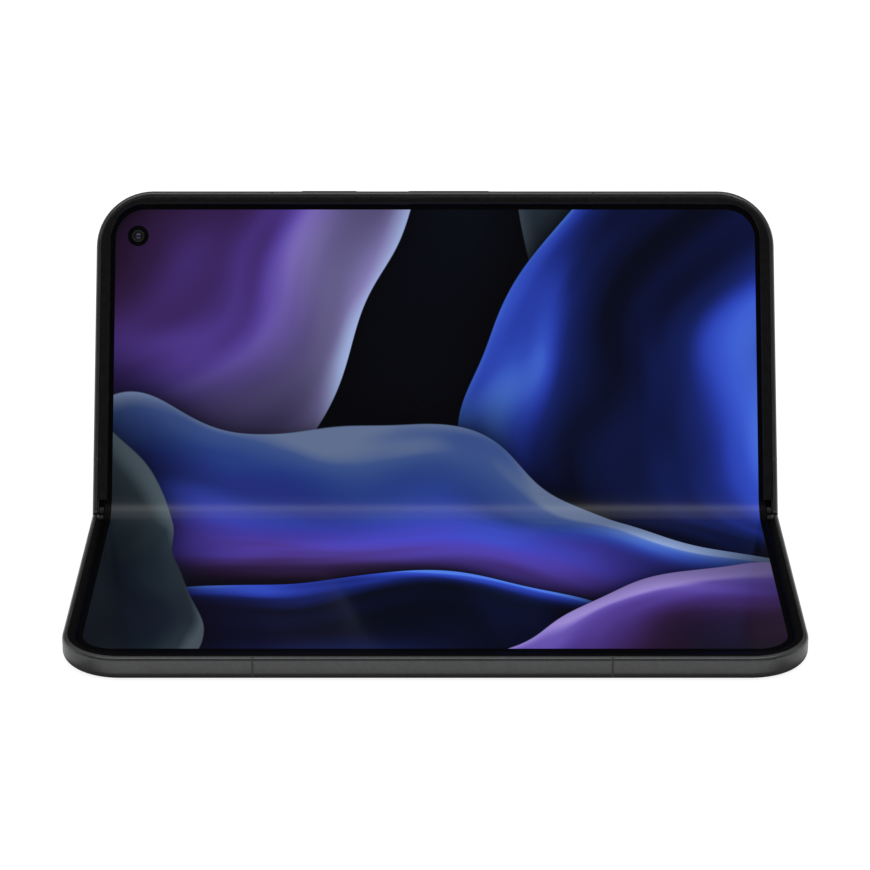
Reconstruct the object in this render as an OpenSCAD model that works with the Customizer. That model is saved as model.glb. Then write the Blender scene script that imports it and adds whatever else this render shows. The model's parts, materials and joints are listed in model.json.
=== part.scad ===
/* [Overall] */
// Length of the phone along its fold
phone_len = 155.2; // [128:0.1:190]
// Width of the phone laid flat
open_w = 150.2; // [124:0.1:185]
// Thickness of one half
half_t = 5.1; // [5:0.05:6.5]
// Gap between the two halves when shut
closed_gap = 0.3; // [0.2:0.05:0.6]
// Radius of the outer corners, seen from above
corner_r = 12.9; // [10:0.1:16]
// Angle between the two halves as the phone stands
open_angle = 120; // [90:1:170]

/* [Frame] */
// Rounding of the frame towards the outer glass
back_round = 1.73; // [1:0.01:1.9]
// Rounding of the frame towards the inner display
front_round = 0.92; // [0.5:0.01:1.05]
// Width of bare metal around the inner display
rim_top_w = 1.1; // [1.08:0.01:1.4]
// Wall of the frame
rim_w = 1.7; // [1.5:0.05:2.2]
// Width of the shelf that carries the outer glass
ledge_w = 1.2; // [0.8:0.1:2]
// Thickness of that shelf
ledge_t = 0.5; // [0.3:0.05:0.8]
// Thickness of the plate inside the frame
web_t = 0.45; // [0.3:0.05:0.7]
// Thickness of the solid ends of the frame at the fold
block_w = 1.4; // [1.2:0.05:1.6]
// Depth of the antenna slots
band_depth = 0.8; // [0.4:0.05:1]
// Width of the antenna slots
band_w = 0.5; // [0.3:0.05:1.2]
// Place of the left antenna slot along the outer edge
band_left_x = -37.4; // [-50:0.1:-20]
// Place of the right antenna slot along the outer edge
band_right_x = 36.3; // [20:0.1:50]
// Distance of the antenna slots in the ends from the fold
band_end_u = 13; // [10:0.5:20]

/* [Glass] */
// Thickness of the outer glass
glass_t = 0.6; // [0.4:0.05:0.8]
// Gap around the outer glass
glass_gap = 0.05; // [0.02:0.01:0.15]
// Distance of the outer glass from the fold
glass_u = 5.2; // [5:0.1:8]
// Thickness of the cover display's panel
panel_t = 0.45; // [0.3:0.05:0.5]

/* [Inner display] */
// Thickness of the flexible display
display_t = 0.35; // [0.25:0.05:0.5]
// Depth of the display's face below the frame
display_drop = 0.45; // [0.2:0.05:0.6]
// Thickness of the plate that backs the display
support_t = 0.15; // [0.1:0.05:0.3]
// Distance of the display's edge from the frame's edge
display_inset = 2.8; // [2.4:0.1:3.2]
// How much smaller the display's corner radius is than the phone's
display_corner_step = 4.5; // [3.5:0.1:6]
// Bend radius of the display's face as the phone stands
fold_r = 7.5; // [3:0.1:9]
// Flat stretch between the bend and the glued part of the display
bend_rest = 0.53; // [0.3:0.01:2]
// Gap between the flat and the bending stretch
seam_gap = 0.02; // [0.01:0.01:0.1]

/* [Bezel] */
// Distance of the bezel's inner edge from the frame's edge
bezel_in = 3.35; // [3:0.05:3.8]
// How much smaller the radius of the bezel's inner corners is than the phone's
bezel_corner_step = 5.2; // [4:0.1:7]
// How far the bezel's ends reach over the bending stretch
bezel_reach = 1.4; // [0.5:0.1:1.6]
// Thickness of the bezel's lip over the display
lip_t = 0.4; // [0.2:0.05:0.42]
// Gap between the bezel and what is around it
bezel_gap = 0.05; // [0.02:0.01:0.1]

/* [Hinge] */
// Depth of the hinge axes below the inner face
axis_drop = 1; // [0.8:0.05:1.2]
// Back wall of the frame over the spine
back_wall = 0.75; // [0.5:0.05:1]
// Gap between the spine and the frames around it
spine_gap = 0.2; // [0.15:0.05:0.4]
// Wall of the spine cover
spine_wall = 0.55; // [0.4:0.05:0.7]
// Thickness of the caps at the spine's ends
cap_t = 0.9; // [0.6:0.1:1.2]
// Gap between a cap and the frame's end block
cap_gap = 0.3; // [0.1:0.05:0.4]
// Radius of the pins on the caps
pin_r = 0.5; // [0.35:0.05:0.6]
// Length of the pins inside the end blocks
pin_len = 0.65; // [0.5:0.05:0.8]
// Running clearance of pins and shafts
run_gap = 0.03; // [0.02:0.01:0.06]
// Distance of the guide modules from the middle
guide_x = 50; // [40:0.5:58]
// Length of a guide module
guide_len = 15; // [14:0.5:20]
// Width of a guide rail
rail_w = 4.4; // [3:0.1:4.8]
// Inner radius of a guide rail
rail_in_r = 1.5; // [1.3:0.05:1.6]
// Outer radius of a guide rail
rail_out_r = 2.1; // [1.9:0.05:2.15]
// Clearance of the guide rails in their grooves
rail_gap = 0.06; // [0.03:0.01:0.1]
// Wall between the two rails of a module
rail_split = 1.2; // [0.8:0.1:2]
// Distance that the arms reach from the fold
arm_u = 12; // [11:0.5:15]
// Gap around an arm in its pocket
arm_gap = 0.1; // [0.05:0.01:0.15]
// Distance of the hinge's flat cables from the middle
flex_x = 25; // [15:0.5:34]
// Width of the flat cables
flex_w = 9; // [5:0.5:12]
// Thickness of the flat cables
flex_t = 0.16; // [0.1:0.02:0.3]
// Radius of the arm screws
screw_r = 0.5; // [0.4:0.05:0.6]
// Radius of the arm screws' heads
head_r = 0.95; // [0.8:0.05:1.1]

/* [Gears] */
// Module of the gear teeth
gear_m = 0.2; // [0.18:0.01:0.21]
// Teeth that a full turn of an arm's sector would have
sector_teeth = 9;
// Teeth of a small gear
idler_teeth = 7;
// Width of the gears
gear_w = 4; // [3:0.1:4.5]
// Play between the gear teeth
gear_play = 0.06; // [0.03:0.01:0.08]
// Radius of the small gears' shafts
shaft_r = 0.3; // [0.2:0.01:0.35]
// Length of the shafts beyond the gear
shaft_len = 1.4; // [1:0.1:2]

/* [Buttons] */
// Length of the power button
power_len = 13.2; // [10:0.1:16]
// Place of the power button
power_x = -24.4; // [-30:0.1:-18]
// Length of the volume rocker
volume_len = 19; // [16:0.1:22]
// Place of the volume rocker
volume_x = 3.1; // [0:0.1:8]
// Width of the buttons
button_w = 1.8; // [1.4:0.1:2]
// Height of the buttons above the frame
button_proud = 0.2; // [0.1:0.05:0.4]
// Gap around the buttons
button_gap = 0.08; // [0.05:0.01:0.15]
// Travel of the buttons
button_travel = 0.18; // [0.1:0.01:0.25]

/* [Ports] */
// Width of the USB-C receptacle's mouth, a standard size
usb_w = 8.34;
// Height of the USB-C receptacle's mouth, a standard size
usb_h = 2.56;
// Wall of the receptacle's shell
usb_wall = 0.25; // [0.2:0.05:0.3]
// Depth of the receptacle
usb_depth = 7.3; // [6.5:0.1:8]
// Width of the receptacle's tongue, a standard size
tongue_w = 6.69;
// Thickness of the receptacle's tongue, a standard size
tongue_t = 0.7;
// Height of the SIM tray's head
tray_head_h = 1.9; // [1.6:0.1:2.1]
// Width of the SIM tray's head
tray_head_w = 14.6; // [13.6:0.1:16]
// Width of the SIM tray's body
tray_w = 12.9; // [12.7:0.1:13.2]
// Thickness of the SIM tray's body
tray_t = 0.9; // [0.8:0.05:1.1]
// Depth of the SIM tray
tray_depth = 15.4; // [14:0.1:18]
// Length of a nano SIM card, a standard size
card_len = 12.3;
// Width of a nano SIM card, a standard size
card_w = 8.8;
// Radius of the microphone holes
mic_r = 0.5; // [0.3:0.05:0.7]
// Width of one speaker slot
speaker_slot = 2.2; // [1.5:0.1:3]
// Height of the speaker slots
speaker_h = 0.9; // [0.6:0.1:1.2]

/* [Cameras] */
// Distance of the inner camera from the phone's left end
inner_cam_x = 9.5; // [8.5:0.1:11]
// Distance of the inner camera from the outer edge
inner_cam_u = 10.5; // [9.5:0.1:12]
// Radius of the inner camera's barrel
inner_cam_r = 1.5; // [1.2:0.1:1.8]
// Length of the camera island along the fold
island_len = 34; // [30:0.5:40]
// Width of the camera island across the phone
island_w = 44; // [40:0.5:48]
// Height of the camera island above the back glass
island_h = 2.4; // [1.5:0.1:3]
// Corner radius of the camera island
island_r = 8; // [5:0.5:10]
// Distance of the camera island from the phone's left end
island_x = 6; // [5:0.1:9]
// Distance of the camera island from the outer edge
island_u = 5.4; // [5:0.1:8]
// Width of one camera window
window_w = 12; // [10:0.1:13]
// Length of one camera window
window_len = 36; // [30:0.5:38]
// Radius of the rear lens barrels
lens_r = 4.6; // [4:0.1:5]

/* [Parts inside] */
// Thickness of the batteries
battery_t = 2.3; // [1.8:0.1:2.4]
// Thickness of the circuit boards
board_t = 0.8; // [0.6:0.1:1]
// Space at each end of the lower battery
lower_end_zone = 33; // [30:0.5:36]
// Space between the lower battery and the outer edge
lower_edge_zone = 5; // [4:0.5:8]
// Space at the right end of the upper battery
upper_end_zone = 26; // [24:0.5:30]
// Space between the upper battery and the outer edge
upper_edge_zone = 23; // [22:0.5:26]
// Radius of the charging coil
coil_r = 21; // [16:0.5:22]
// Thickness of the charging coil
coil_t = 0.35; // [0.2:0.05:0.4]

/* [Hidden] */
$fn = 64;
eps = 0.01;
half_w = open_w / 2;
end_x = phone_len / 2;
half_turn = (180 - open_angle) / 2;
fold_edge = closed_gap / 2;

// Heights in one half, from its outer glass up to its inner face
ledge_top = glass_t + ledge_t;
display_top = half_t - display_drop;
display_low = display_top - display_t;
web_top = display_low - support_t;
web_low = web_top - web_t;
band_mid = (back_round + half_t - front_round) / 2;
glass_in = back_round + 0.02;
ledge_in = glass_in + ledge_w;

// Hinge axes in one half, and the spine's section
axis_u = axis_drop + fold_edge;
axis_w = half_t - axis_drop;
spine_r = axis_w - back_wall - spine_gap;
spine_in_r = spine_r - spine_wall;
cavity_r = spine_r + spine_gap;
spine_top = axis_w - 0.25;
bracket_top = axis_w - 0.75;
bracket_r = spine_in_r - 0.05;
block_x = end_x - block_w;
cap_x = block_x - cap_gap;
cover_x = cap_x - cap_t;
display_x = end_x - display_inset;
display_corner_r = corner_r - display_corner_step;
bezel_corner_r = corner_r - bezel_corner_step;
bend_corner_u = axis_u + ((display_top - axis_w) * sin(half_turn) - axis_u) / cos(half_turn);
fold_u = bend_corner_u + fold_r * tan(half_turn) + bend_rest;
bezel_u = fold_u - bezel_reach;
wall_u = axis_u + cavity_r + 1.7;

// Arms
arm_low = spine_top - 1.1;
bridge_t = 0.75;
notch_w = arm_low - 0.1;
plate_u = axis_u + cavity_r + 0.35;
plate_low = ledge_top + 1.1;
arm_top = web_top - 0.05;
boss_w = 1.3;
screw_us = [plate_u + 2.1, arm_u - 1.75];
screw_grip = 1;
thread_gap = 0.02;
head_t = 0.5;
link_low = axis_w - 0.8;
flex_play = 0.5;
flex_in_w = arm_low + 0.65;

// Gears
sector_r = gear_m * sector_teeth / 2;
idler_r = gear_m * idler_teeth / 2;
addendum = 0.8 * gear_m;
dedendum = 1.1 * gear_m;
pressure = 25;
idler_y = idler_r;
mesh_len = sector_r + idler_r;
idler_z = axis_w - sqrt(pow(mesh_len, 2) - pow(axis_u - idler_y, 2));
mesh_dir = atan2(idler_z - axis_w, idler_y - axis_u);
sector_phase = mesh_dir + 10;
gear_ratio = sector_teeth / idler_teeth;

// Rings of teeth
function inv(a) = tan(a) - a * PI / 180;
function pitches(n, phase, dir) = n * (dir - phase) / 360;
function meshing_phase(n_a, phase_a, n_b, dir) =
    dir + 180 - (360 / n_b) * (0.5 - pitches(n_a, phase_a, dir));
function base_r(r) = r * cos(pressure);
function half_tooth(r, p) =
    (PI * gear_m / 2 - gear_play) / (2 * r) * 180 / PI
    + (inv(pressure) - inv(acos(min(1, base_r(r) / max(p, base_r(r)))))) * 180 / PI;
function tooth_radii(r) = [r - dedendum - 0.1, base_r(r), r, r + addendum / 2, r + addendum];
function tooth(r, dir) = concat(
    [for (p = tooth_radii(r)) polar(p, dir - half_tooth(r, p))],
    [for (i = [4:-1:0]) let (p = tooth_radii(r)[i]) polar(p, dir + half_tooth(r, p))]
);
function polar(r, a) = [r * cos(a), r * sin(a)];
upper_idler_phase = meshing_phase(sector_teeth, sector_phase, idler_teeth, mesh_dir);
lower_idler_phase = meshing_phase(idler_teeth, upper_idler_phase, idler_teeth, 180);
lower_mesh_dir = 180 - mesh_dir;
lower_sector_phase = meshing_phase(idler_teeth, lower_idler_phase, sector_teeth, lower_mesh_dir + 180);

// Places where the halves stand, and a point turned about another
function turned(p, c, a) = [
    c[0] + (p[0] - c[0]) * cos(a) - (p[1] - c[1]) * sin(a),
    c[1] + (p[0] - c[0]) * sin(a) + (p[1] - c[1]) * cos(a)
];

module lower_place() {
    translate([0, half_w / 2, 0]) mirror([0, 1, 0]) children();
}

module turn_about(y, z, a) {
    translate([0, y, z]) rotate([a, 0, 0]) translate([0, -y, -z]) children();
}

module spine_place() {
    translate([0, half_w / 2, 0]) turn_about(-axis_u, axis_w, half_turn) children();
}

module upper_place() {
    spine_place() turn_about(axis_u, axis_w, half_turn) children();
}

// A section drawn in the plane across the fold, run along the fold
module along_x(x0, len) {
    translate([x0, 0, 0]) rotate([90, 0, 90]) linear_extrude(len) children();
}

module block(x0, u0, w0, size) {
    translate([x0, u0, w0]) cube(size);
}

// Outline of one half seen from above, set in from its edge
module plan(inset, r, u0) {
    x = end_x - inset;
    u = half_w - inset;
    union() {
        translate([-x, u0]) square([2 * x, u - r - u0]);
        translate([r - x, u0]) square([2 * (x - r), u - u0]);
        for (s = [-1, 1])
            translate([s * (x - r), u - r]) circle(r);
    }
}

module plan_plate(inset, r, u0, w0, t) {
    translate([0, 0, w0]) linear_extrude(t) plan(inset, r, u0);
}

// Rectangle with round corners, centred
module round_rect(x, y, r) {
    union() {
        square([x, y - 2 * r], center = true);
        square([x - 2 * r, y], center = true);
        for (sx = [-1, 1])
            for (sy = [-1, 1])
                translate([sx * (x / 2 - r), sy * (y / 2 - r)]) circle(r);
    }
}

// Slot with round ends, centred and lying along x
module pill(x, y) {
    union() {
        square([x - y, y], center = true);
        for (s = [-1, 1])
            translate([s * (x - y) / 2, 0]) circle(y / 2);
    }
}

// A pill bored into one end of the phone, long across the phone
module end_pill(side, u, w, len, h, depth) {
    translate([side * (end_x - depth), u, w])
        rotate([90, 0, side * 90]) linear_extrude(depth + 1) pill(len, h);
}

// Section of the frame's wall: across is the distance in from the edge
module wall_outline() {
    union() {
        translate([back_round, back_round]) circle(back_round);
        translate([front_round, half_t - front_round]) circle(front_round);
        translate([0, back_round]) square([rim_w, half_t - back_round - front_round]);
        translate([back_round, 0]) square([ledge_in - back_round, ledge_top]);
        translate([front_round, web_top]) square([rim_top_w - front_round, half_t - web_top]);
    }
}

module wall_limit() {
    polygon([
        [-1, -1], [glass_in, -1], [glass_in, glass_t], [ledge_in, glass_t], [ledge_in, ledge_top],
        [rim_w, ledge_top], [rim_w, web_top], [rim_top_w, web_top], [rim_top_w, half_t + 1],
        [-1, half_t + 1]
    ]);
}

module band_limit() {
    polygon([
        [-1, -1], [glass_in + 1, -1], [glass_in + 1, band_depth], [band_depth, band_depth],
        [band_depth, web_top], [rim_top_w, web_top], [rim_top_w + 1, half_t + 1], [-1, half_t + 1]
    ]);
}

module wall_section() {
    intersection() {
        wall_outline();
        wall_limit();
    }
}

module band_section() {
    intersection() {
        wall_section();
        band_limit();
    }
}

// A section stood along the outer edge, from x0
module along_edge(x0, len) {
    translate([x0, half_w, 0]) rotate([90, 0, 90]) mirror([1, 0, 0]) linear_extrude(len) children();
}

// A section stood along the left or right end, from u0
module along_end(side, u0, len) {
    translate([side * end_x, u0 + len, 0])
        mirror([side > 0 ? 1 : 0, 0, 0]) rotate([90, 0, 0]) linear_extrude(len) children();
}

module wall_ring() {
    straight = end_x - corner_r;
    union() {
        along_edge(-straight, 2 * straight) wall_section();
        for (s = [-1, 1])
            along_end(s, fold_edge, half_w - corner_r - fold_edge) wall_section();
        for (s = [0, 1])
            mirror([s, 0, 0]) translate([straight, half_w - corner_r, 0]) rotate_extrude(angle = 90)
                translate([corner_r, 0]) mirror([1, 0]) wall_section();
    }
}

// Space that the spine turns in, across the fold
module cavity_section() {
    union() {
        translate([axis_u, axis_w]) circle(cavity_r);
        translate([-1, back_wall]) square([axis_u + 1, half_t]);
        translate([-1, axis_w]) square([axis_u + cavity_r + 1, half_t]);
    }
}

module fold_wall_section() {
    foot_r = 0.35;
    union() {
        translate([fold_edge + foot_r, 0]) square([glass_u - glass_gap - fold_edge - foot_r, ledge_top]);
        translate([fold_edge, foot_r]) square([1, back_wall]);
        translate([fold_edge + foot_r, foot_r]) circle(foot_r);
        translate([axis_u, glass_t]) square([wall_u - axis_u, web_top - glass_t]);
    }
}

// Where the frame would cross the middle as the phone shuts
module fold_corner_section() {
    difference() {
        translate([-1, axis_w]) square([axis_u + 1, axis_drop + 1]);
        translate([axis_u, axis_w]) circle(axis_drop - 0.02);
    }
}

module pin_bores() {
    for (s = [-1, 1])
        translate([s * (block_x - 1), axis_u, axis_w]) rotate([0, s * 90, 0])
            cylinder(h = pin_len + cap_gap + 0.8, r = pin_r + run_gap);
}

// Arms of one half: where each starts along the fold, and its width
function arm_starts(rail_side) = [
    for (s = [-1, 1]) s * guide_x + (rail_side > 0 ? rail_split / 2 : -rail_split / 2 - rail_w)
];

module arm_boss(x0, w) {
    block(x0 - boss_w, plate_u, ledge_top, [w + 2 * boss_w, arm_u + boss_w - plate_u, web_top - ledge_top]);
}

module arm_pocket(x0, w) {
    g = arm_gap;
    block(x0 - g, axis_u, notch_w, [w + 2 * g, plate_u + 0.5 - axis_u, half_t]);
    block(x0 - g, plate_u - g, plate_low, [w + 2 * g, arm_u + 2 * g - plate_u, half_t]);
}

module screw_bores(x, play) {
    for (u = screw_us)
        translate([x, u, plate_low - screw_grip]) cylinder(h = half_t, r = screw_r + play);
}

// The frame that both halves share
module half_frame(rail_side) {
    starts = arm_starts(rail_side);
    difference() {
        union() {
            wall_ring();
            plan_plate(rim_w - 0.2, corner_r - rim_w + 0.2, wall_u - 0.5, web_low, web_t);
            along_x(-block_x - 0.2, 2 * block_x + 0.4) fold_wall_section();
            for (x = starts)
                arm_boss(x, rail_w);
            arm_boss(-gear_w / 2, gear_w);
        }
        along_x(-block_x, 2 * block_x) cavity_section();
        along_x(-end_x - 1, 2 * end_x + 2) fold_corner_section();
        pin_bores();
        for (x = starts) {
            arm_pocket(x, rail_w);
            screw_bores(x + rail_w / 2, thread_gap);
        }
        arm_pocket(-gear_w / 2, gear_w);
        screw_bores(0, thread_gap);
        flex_windows();
        antenna_slots();
    }
}

module antenna_slots() {
    for (x = [band_left_x, band_right_x])
        along_edge(x - band_w / 2, band_w) band_limit();
    for (s = [-1, 1])
        along_end(s, band_end_u - band_w / 2, band_w) band_limit();
}

module antenna_bands() {
    for (x = [band_left_x, band_right_x])
        along_edge(x - band_w / 2, band_w) band_section();
    for (s = [-1, 1])
        along_end(s, band_end_u - band_w / 2, band_w) band_section();
}

module flex_windows() {
    for (s = [-1, 1])
        block(s * flex_x - flex_w / 2 - flex_play, axis_u, notch_w,
            [flex_w + 2 * flex_play, wall_u, web_low - notch_w + eps]);
}

// Lower frame
tray_u = half_w - corner_r - tray_head_w / 2 - 1;
top_speaker_end = half_w - corner_r + 0.3;
top_speaker_len = min(15, top_speaker_end - half_w / 2 - 4.5);
top_speaker_u = top_speaker_end - top_speaker_len / 2;
slot_pitch = speaker_slot + 1;

module tray_slot() {
    g = button_gap;
    block(end_x - rim_w - 1, tray_u - tray_head_w / 2 - g, band_mid - tray_head_h / 2 - g,
        [rim_w + 2, tray_head_w + 2 * g, tray_head_h + 2 * g]);
}

module lower_frame() {
    color("#3a3b3e") lower_place() difference() {
        half_frame(-1);
        tray_slot();
        for (i = [-1, 1])
            end_pill(-1, top_speaker_u + i * slot_pitch / 2, band_mid, speaker_slot, speaker_h, rim_w + 1);
    }
}

module lower_antenna_bands() {
    color("#4a4b4d") lower_place() antenna_bands();
}

// Bezel: a foot on the frame, and a lip over the display's edge
module bezel() {
    out = rim_top_w + bezel_gap;
    foot_in = display_inset - bezel_gap;
    foot_t = half_t - lip_t - web_top;
    difference() {
        plan_plate(out, corner_r - out, bezel_u, web_top, half_t - web_top);
        plan_plate(foot_in, display_corner_r + bezel_gap, bezel_u - 1, web_top - 1, foot_t + 1);
        plan_plate(bezel_in, bezel_corner_r, bezel_u - 1, web_top, half_t);
    }
}

module lower_bezel() {
    color("#151516") lower_place() bezel();
}

module display_flat() {
    plan_plate(display_inset, display_corner_r, fold_u, display_low, display_t);
}

module support_plate() {
    plan_plate(display_inset, display_corner_r, fold_u + 0.2, web_top, support_t);
}

module display_lower() {
    color("#1b2140") lower_place() display_flat();
}

module lower_support_plate() {
    color("#8a8d90") lower_place() support_plate();
}

module outer_glass() {
    inset = glass_in + glass_gap;
    plan_plate(inset, corner_r - inset, glass_u, 0, glass_t);
}

// Earpiece slit, cover camera and the display behind the cover glass
slit_x = end_x - 3.7;
slit_u = half_w / 2;
slit_len = 11;
slit_w = 0.7;
cover_cam_x = end_x - 8.4;
cover_cam_r = 3;
cover_cam_base = 8;

module cover_glass() {
    color("#101114") lower_place() difference() {
        outer_glass();
        translate([-slit_x, slit_u, -1]) rotate([0, 0, 90])
            linear_extrude(glass_t + 2) pill(slit_len, slit_w);
    }
}

module earpiece_mesh() {
    mesh_t = 0.3;
    color("#2c2d30") lower_place() translate([-slit_x, slit_u, glass_t - mesh_t]) rotate([0, 0, 90])
        linear_extrude(mesh_t) pill(slit_len - 0.1, slit_w - 0.1);
}

module cover_panel() {
    inset = ledge_in + 2.2;
    color("#0c0d12") lower_place() difference() {
        plan_plate(inset, corner_r - inset, wall_u + 0.2, glass_t, panel_t);
        translate([-cover_cam_x, slit_u, 0]) cylinder(h = half_t, r = cover_cam_r + 0.2);
    }
}

module cover_camera() {
    barrel_h = 1.6;
    base_h = 1.6;
    color("#202226") lower_place() union() {
        translate([-cover_cam_x, slit_u, glass_t]) cylinder(h = barrel_h, r = cover_cam_r);
        block(-cover_cam_x - cover_cam_base / 2, slit_u - cover_cam_base / 2, glass_t + barrel_h - 0.4,
            [cover_cam_base, cover_cam_base, base_h]);
    }
}

module top_speaker() {
    depth = 14;
    low = ledge_top + 0.2;
    color("#303236") lower_place() block(-end_x + rim_w + 0.1, top_speaker_end - top_speaker_len, low,
        [depth, top_speaker_len, web_low - low]);
}

inner_u = arm_u + boss_w + 0.4;

module lower_battery() {
    x = end_x - lower_end_zone;
    color("#24262b") lower_place()
        block(-x, inner_u, web_low - battery_t, [2 * x, half_w - lower_edge_zone - inner_u, battery_t]);
}

module lower_board() {
    x0 = end_x - lower_end_zone + 1.5;
    len = lower_end_zone - 1.5 - rim_w - 2;
    u_len = tray_u - 9.5 - inner_u;
    chip_h = 1.5;
    low = web_low - chip_h - 0.5;
    color("#14532d") lower_place() union() {
        block(x0, inner_u, low, [len, u_len, board_t]);
        block(x0 + 3, inner_u + 4, web_low - chip_h, [len / 2 - 3, u_len / 3, chip_h]);
        block(x0 + 3, inner_u + u_len / 2, web_low - chip_h, [len / 2, u_len / 4, chip_h]);
    }
}

module haptic_motor() {
    motor = [18, 10, 2.2];
    color("#9a9da1") lower_place() block(-end_x + 6, inner_u, web_low - motor[2], motor);
}

// Magnets along the outer edge, which hold the phone shut
magnet_end_x = end_x - corner_r - 5;
magnet_xs = [-magnet_end_x, 0.36 * end_x, magnet_end_x];

module magnets() {
    magnet = [8, 1.1, 1.8];
    for (x = magnet_xs)
        block(x - magnet[0] / 2, half_w - rim_w - magnet[1] - 0.02, ledge_top + 0.3, magnet);
}

module lower_magnets() {
    color("#b8babd") lower_place() magnets();
}

// SIM tray: a head flush with the frame, and a body with a pocket for the card
module sim_tray() {
    body_x = end_x - tray_depth;
    low = band_mid - tray_t / 2;
    color("#55575b") lower_place() difference() {
        union() {
            block(end_x - rim_w - 0.4, tray_u - tray_head_w / 2, band_mid - tray_head_h / 2,
                [rim_w + 0.4 - 0.02, tray_head_w, tray_head_h]);
            block(body_x, tray_u - tray_w / 2, low, [tray_depth - 0.5, tray_w, tray_t]);
        }
        block(body_x + 1.2, tray_u - card_len / 2, low + 0.15, [card_w, card_len, tray_t]);
        block(body_x + 2.2, tray_u - card_len / 2 + 1, low - 1, [card_w - 2, card_len - 2, 3]);
        translate([end_x - 3, tray_u + tray_head_w / 2 - 1.4, band_mid]) rotate([0, 90, 0])
            cylinder(h = 4, r = 0.45);
    }
}

module sim_socket() {
    g = 0.12;
    wall = 0.3;
    x0 = end_x - tray_depth - 1;
    len = tray_depth + 1 - rim_w - 1.5;
    low = band_mid - tray_t / 2 - g - wall;
    color("#a9acb0") lower_place() difference() {
        block(x0, tray_u - tray_w / 2 - g - wall, low, [len, tray_w + 2 * (g + wall), web_low - low]);
        block(x0 + wall, tray_u - tray_w / 2 - g, low + wall, [len, tray_w + 2 * g, tray_t + 2 * g]);
    }
}

// Hinge arms. A guide arm has an arc rail that turns in its bracket.
module arm_plate(x0, w) {
    difference() {
        block(x0, plate_u, plate_low, [w, arm_u - plate_u, arm_top - plate_low]);
        screw_bores(x0 + w / 2, 0.05);
        for (u = screw_us)
            translate([x0 + w / 2, u, arm_top - head_t - 0.1]) cylinder(h = 2, r = head_r + 0.05);
    }
}

module rail_section() {
    reach = 4;
    translate([axis_u, axis_w]) intersection() {
        difference() {
            circle(rail_out_r);
            circle(rail_in_r);
        }
        polygon([[0, 0], for (a = [-160, -110, -60, -22]) polar(reach, a)]);
    }
}

module guide_arm(x0) {
    bridge_u = axis_u + 1.75;
    difference() {
        union() {
            along_x(x0, rail_w) union() {
                rail_section();
                translate([bridge_u, arm_low]) square([plate_u + 0.5 - bridge_u, bridge_t]);
            }
            arm_plate(x0, rail_w);
        }
        screw_bores(x0 + rail_w / 2, 0.05);
    }
}

module sector_section(phases) {
    intersection() {
        translate([axis_u, axis_w]) union() {
            circle(sector_r - dedendum);
            for (t = phases)
                polygon(tooth(sector_r, t));
        }
        translate([-3, 0]) square([8, web_top + 0.05]);
    }
}

// A sync arm has a few gear teeth around its axis
module sync_arm(phases) {
    union() {
        along_x(-gear_w / 2, gear_w) union() {
            sector_section(phases);
            translate([axis_u + 0.35, link_low]) square([plate_u + 0.3 - axis_u, arm_top - link_low]);
        }
        arm_plate(-gear_w / 2, gear_w);
    }
}

upper_teeth = [
    for (k = [-9:9]) let (t = sector_phase + k * 360 / sector_teeth)
        if (t > mesh_dir - 80 && t < mesh_dir + 24) t
];
lower_teeth = [
    for (k = [-18:18]) let (t = lower_sector_phase + k * 360 / sector_teeth)
        if (t > 180 - mesh_dir - 360 - 24 && t < 180 - mesh_dir - 360 + 80) 180 - t
];

module arm_screws(rail_side) {
    low = plate_low - screw_grip + 0.1;
    xs = concat([0], [for (x = arm_starts(rail_side)) x + rail_w / 2]);
    for (x = xs)
        for (u = screw_us)
            translate([x, u, low]) union() {
                cylinder(h = arm_top - head_t - low, r = screw_r);
                translate([0, 0, arm_top - head_t - 0.1 - low]) cylinder(h = head_t, r = head_r);
            }
}

module lower_arm_left() {
    color("#8f9296") lower_place() guide_arm(arm_starts(-1)[0]);
}

module lower_arm_centre() {
    color("#8f9296") lower_place() sync_arm(lower_teeth);
}

module lower_arm_right() {
    color("#8f9296") lower_place() guide_arm(arm_starts(-1)[1]);
}

module lower_arm_screws() {
    color("#c4c6c8") lower_place() arm_screws(-1);
}

// Spine
module spine_outline(r, top) {
    difference() {
        union() {
            for (s = [-1, 1])
                translate([s * axis_u, axis_w]) circle(r);
            translate([-axis_u, axis_w - r]) square([2 * axis_u, r]);
        }
        translate([-2 * spine_r, top]) square([4 * spine_r, 2 * spine_r]);
    }
}

// Notches in the spine's walls for what crosses them
module spine_notch(side, x0, w) {
    y0 = axis_u + 1.3;
    translate([x0 - arm_gap, side > 0 ? y0 : -y0 - spine_r, notch_w])
        cube([w + 2 * arm_gap, spine_r, half_t]);
}

module spine_notches() {
    for (s = [-1, 1]) {
        for (x = arm_starts(s))
            spine_notch(s, x, rail_w);
        spine_notch(s, -gear_w / 2, gear_w);
        for (f = [-1, 1])
            spine_notch(s, f * flex_x - flex_w / 2, flex_w);
    }
}

spine_screw_r = 0.4;
gear_bracket_len = gear_w + 2 * (shaft_len + 1.9);
function bracket_screws(x0, len) = [x0 - len / 2 + 0.95, x0 + len / 2 - 0.95];
spine_screw_xs = concat(
    bracket_screws(-guide_x, guide_len), bracket_screws(guide_x, guide_len),
    bracket_screws(0, gear_bracket_len)
);

module spine_screw_bores(play) {
    for (x = spine_screw_xs)
        translate([x, 0, axis_w - spine_r + 0.2]) cylinder(h = spine_r, r = spine_screw_r + play);
}

module spine_cover() {
    color("#45464a") spine_place() difference() {
        along_x(-cover_x, 2 * cover_x) difference() {
            spine_outline(spine_r, spine_top);
            spine_outline(spine_in_r, spine_top + 1);
        }
        spine_notches();
        spine_screw_bores(thread_gap);
    }
}

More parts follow.
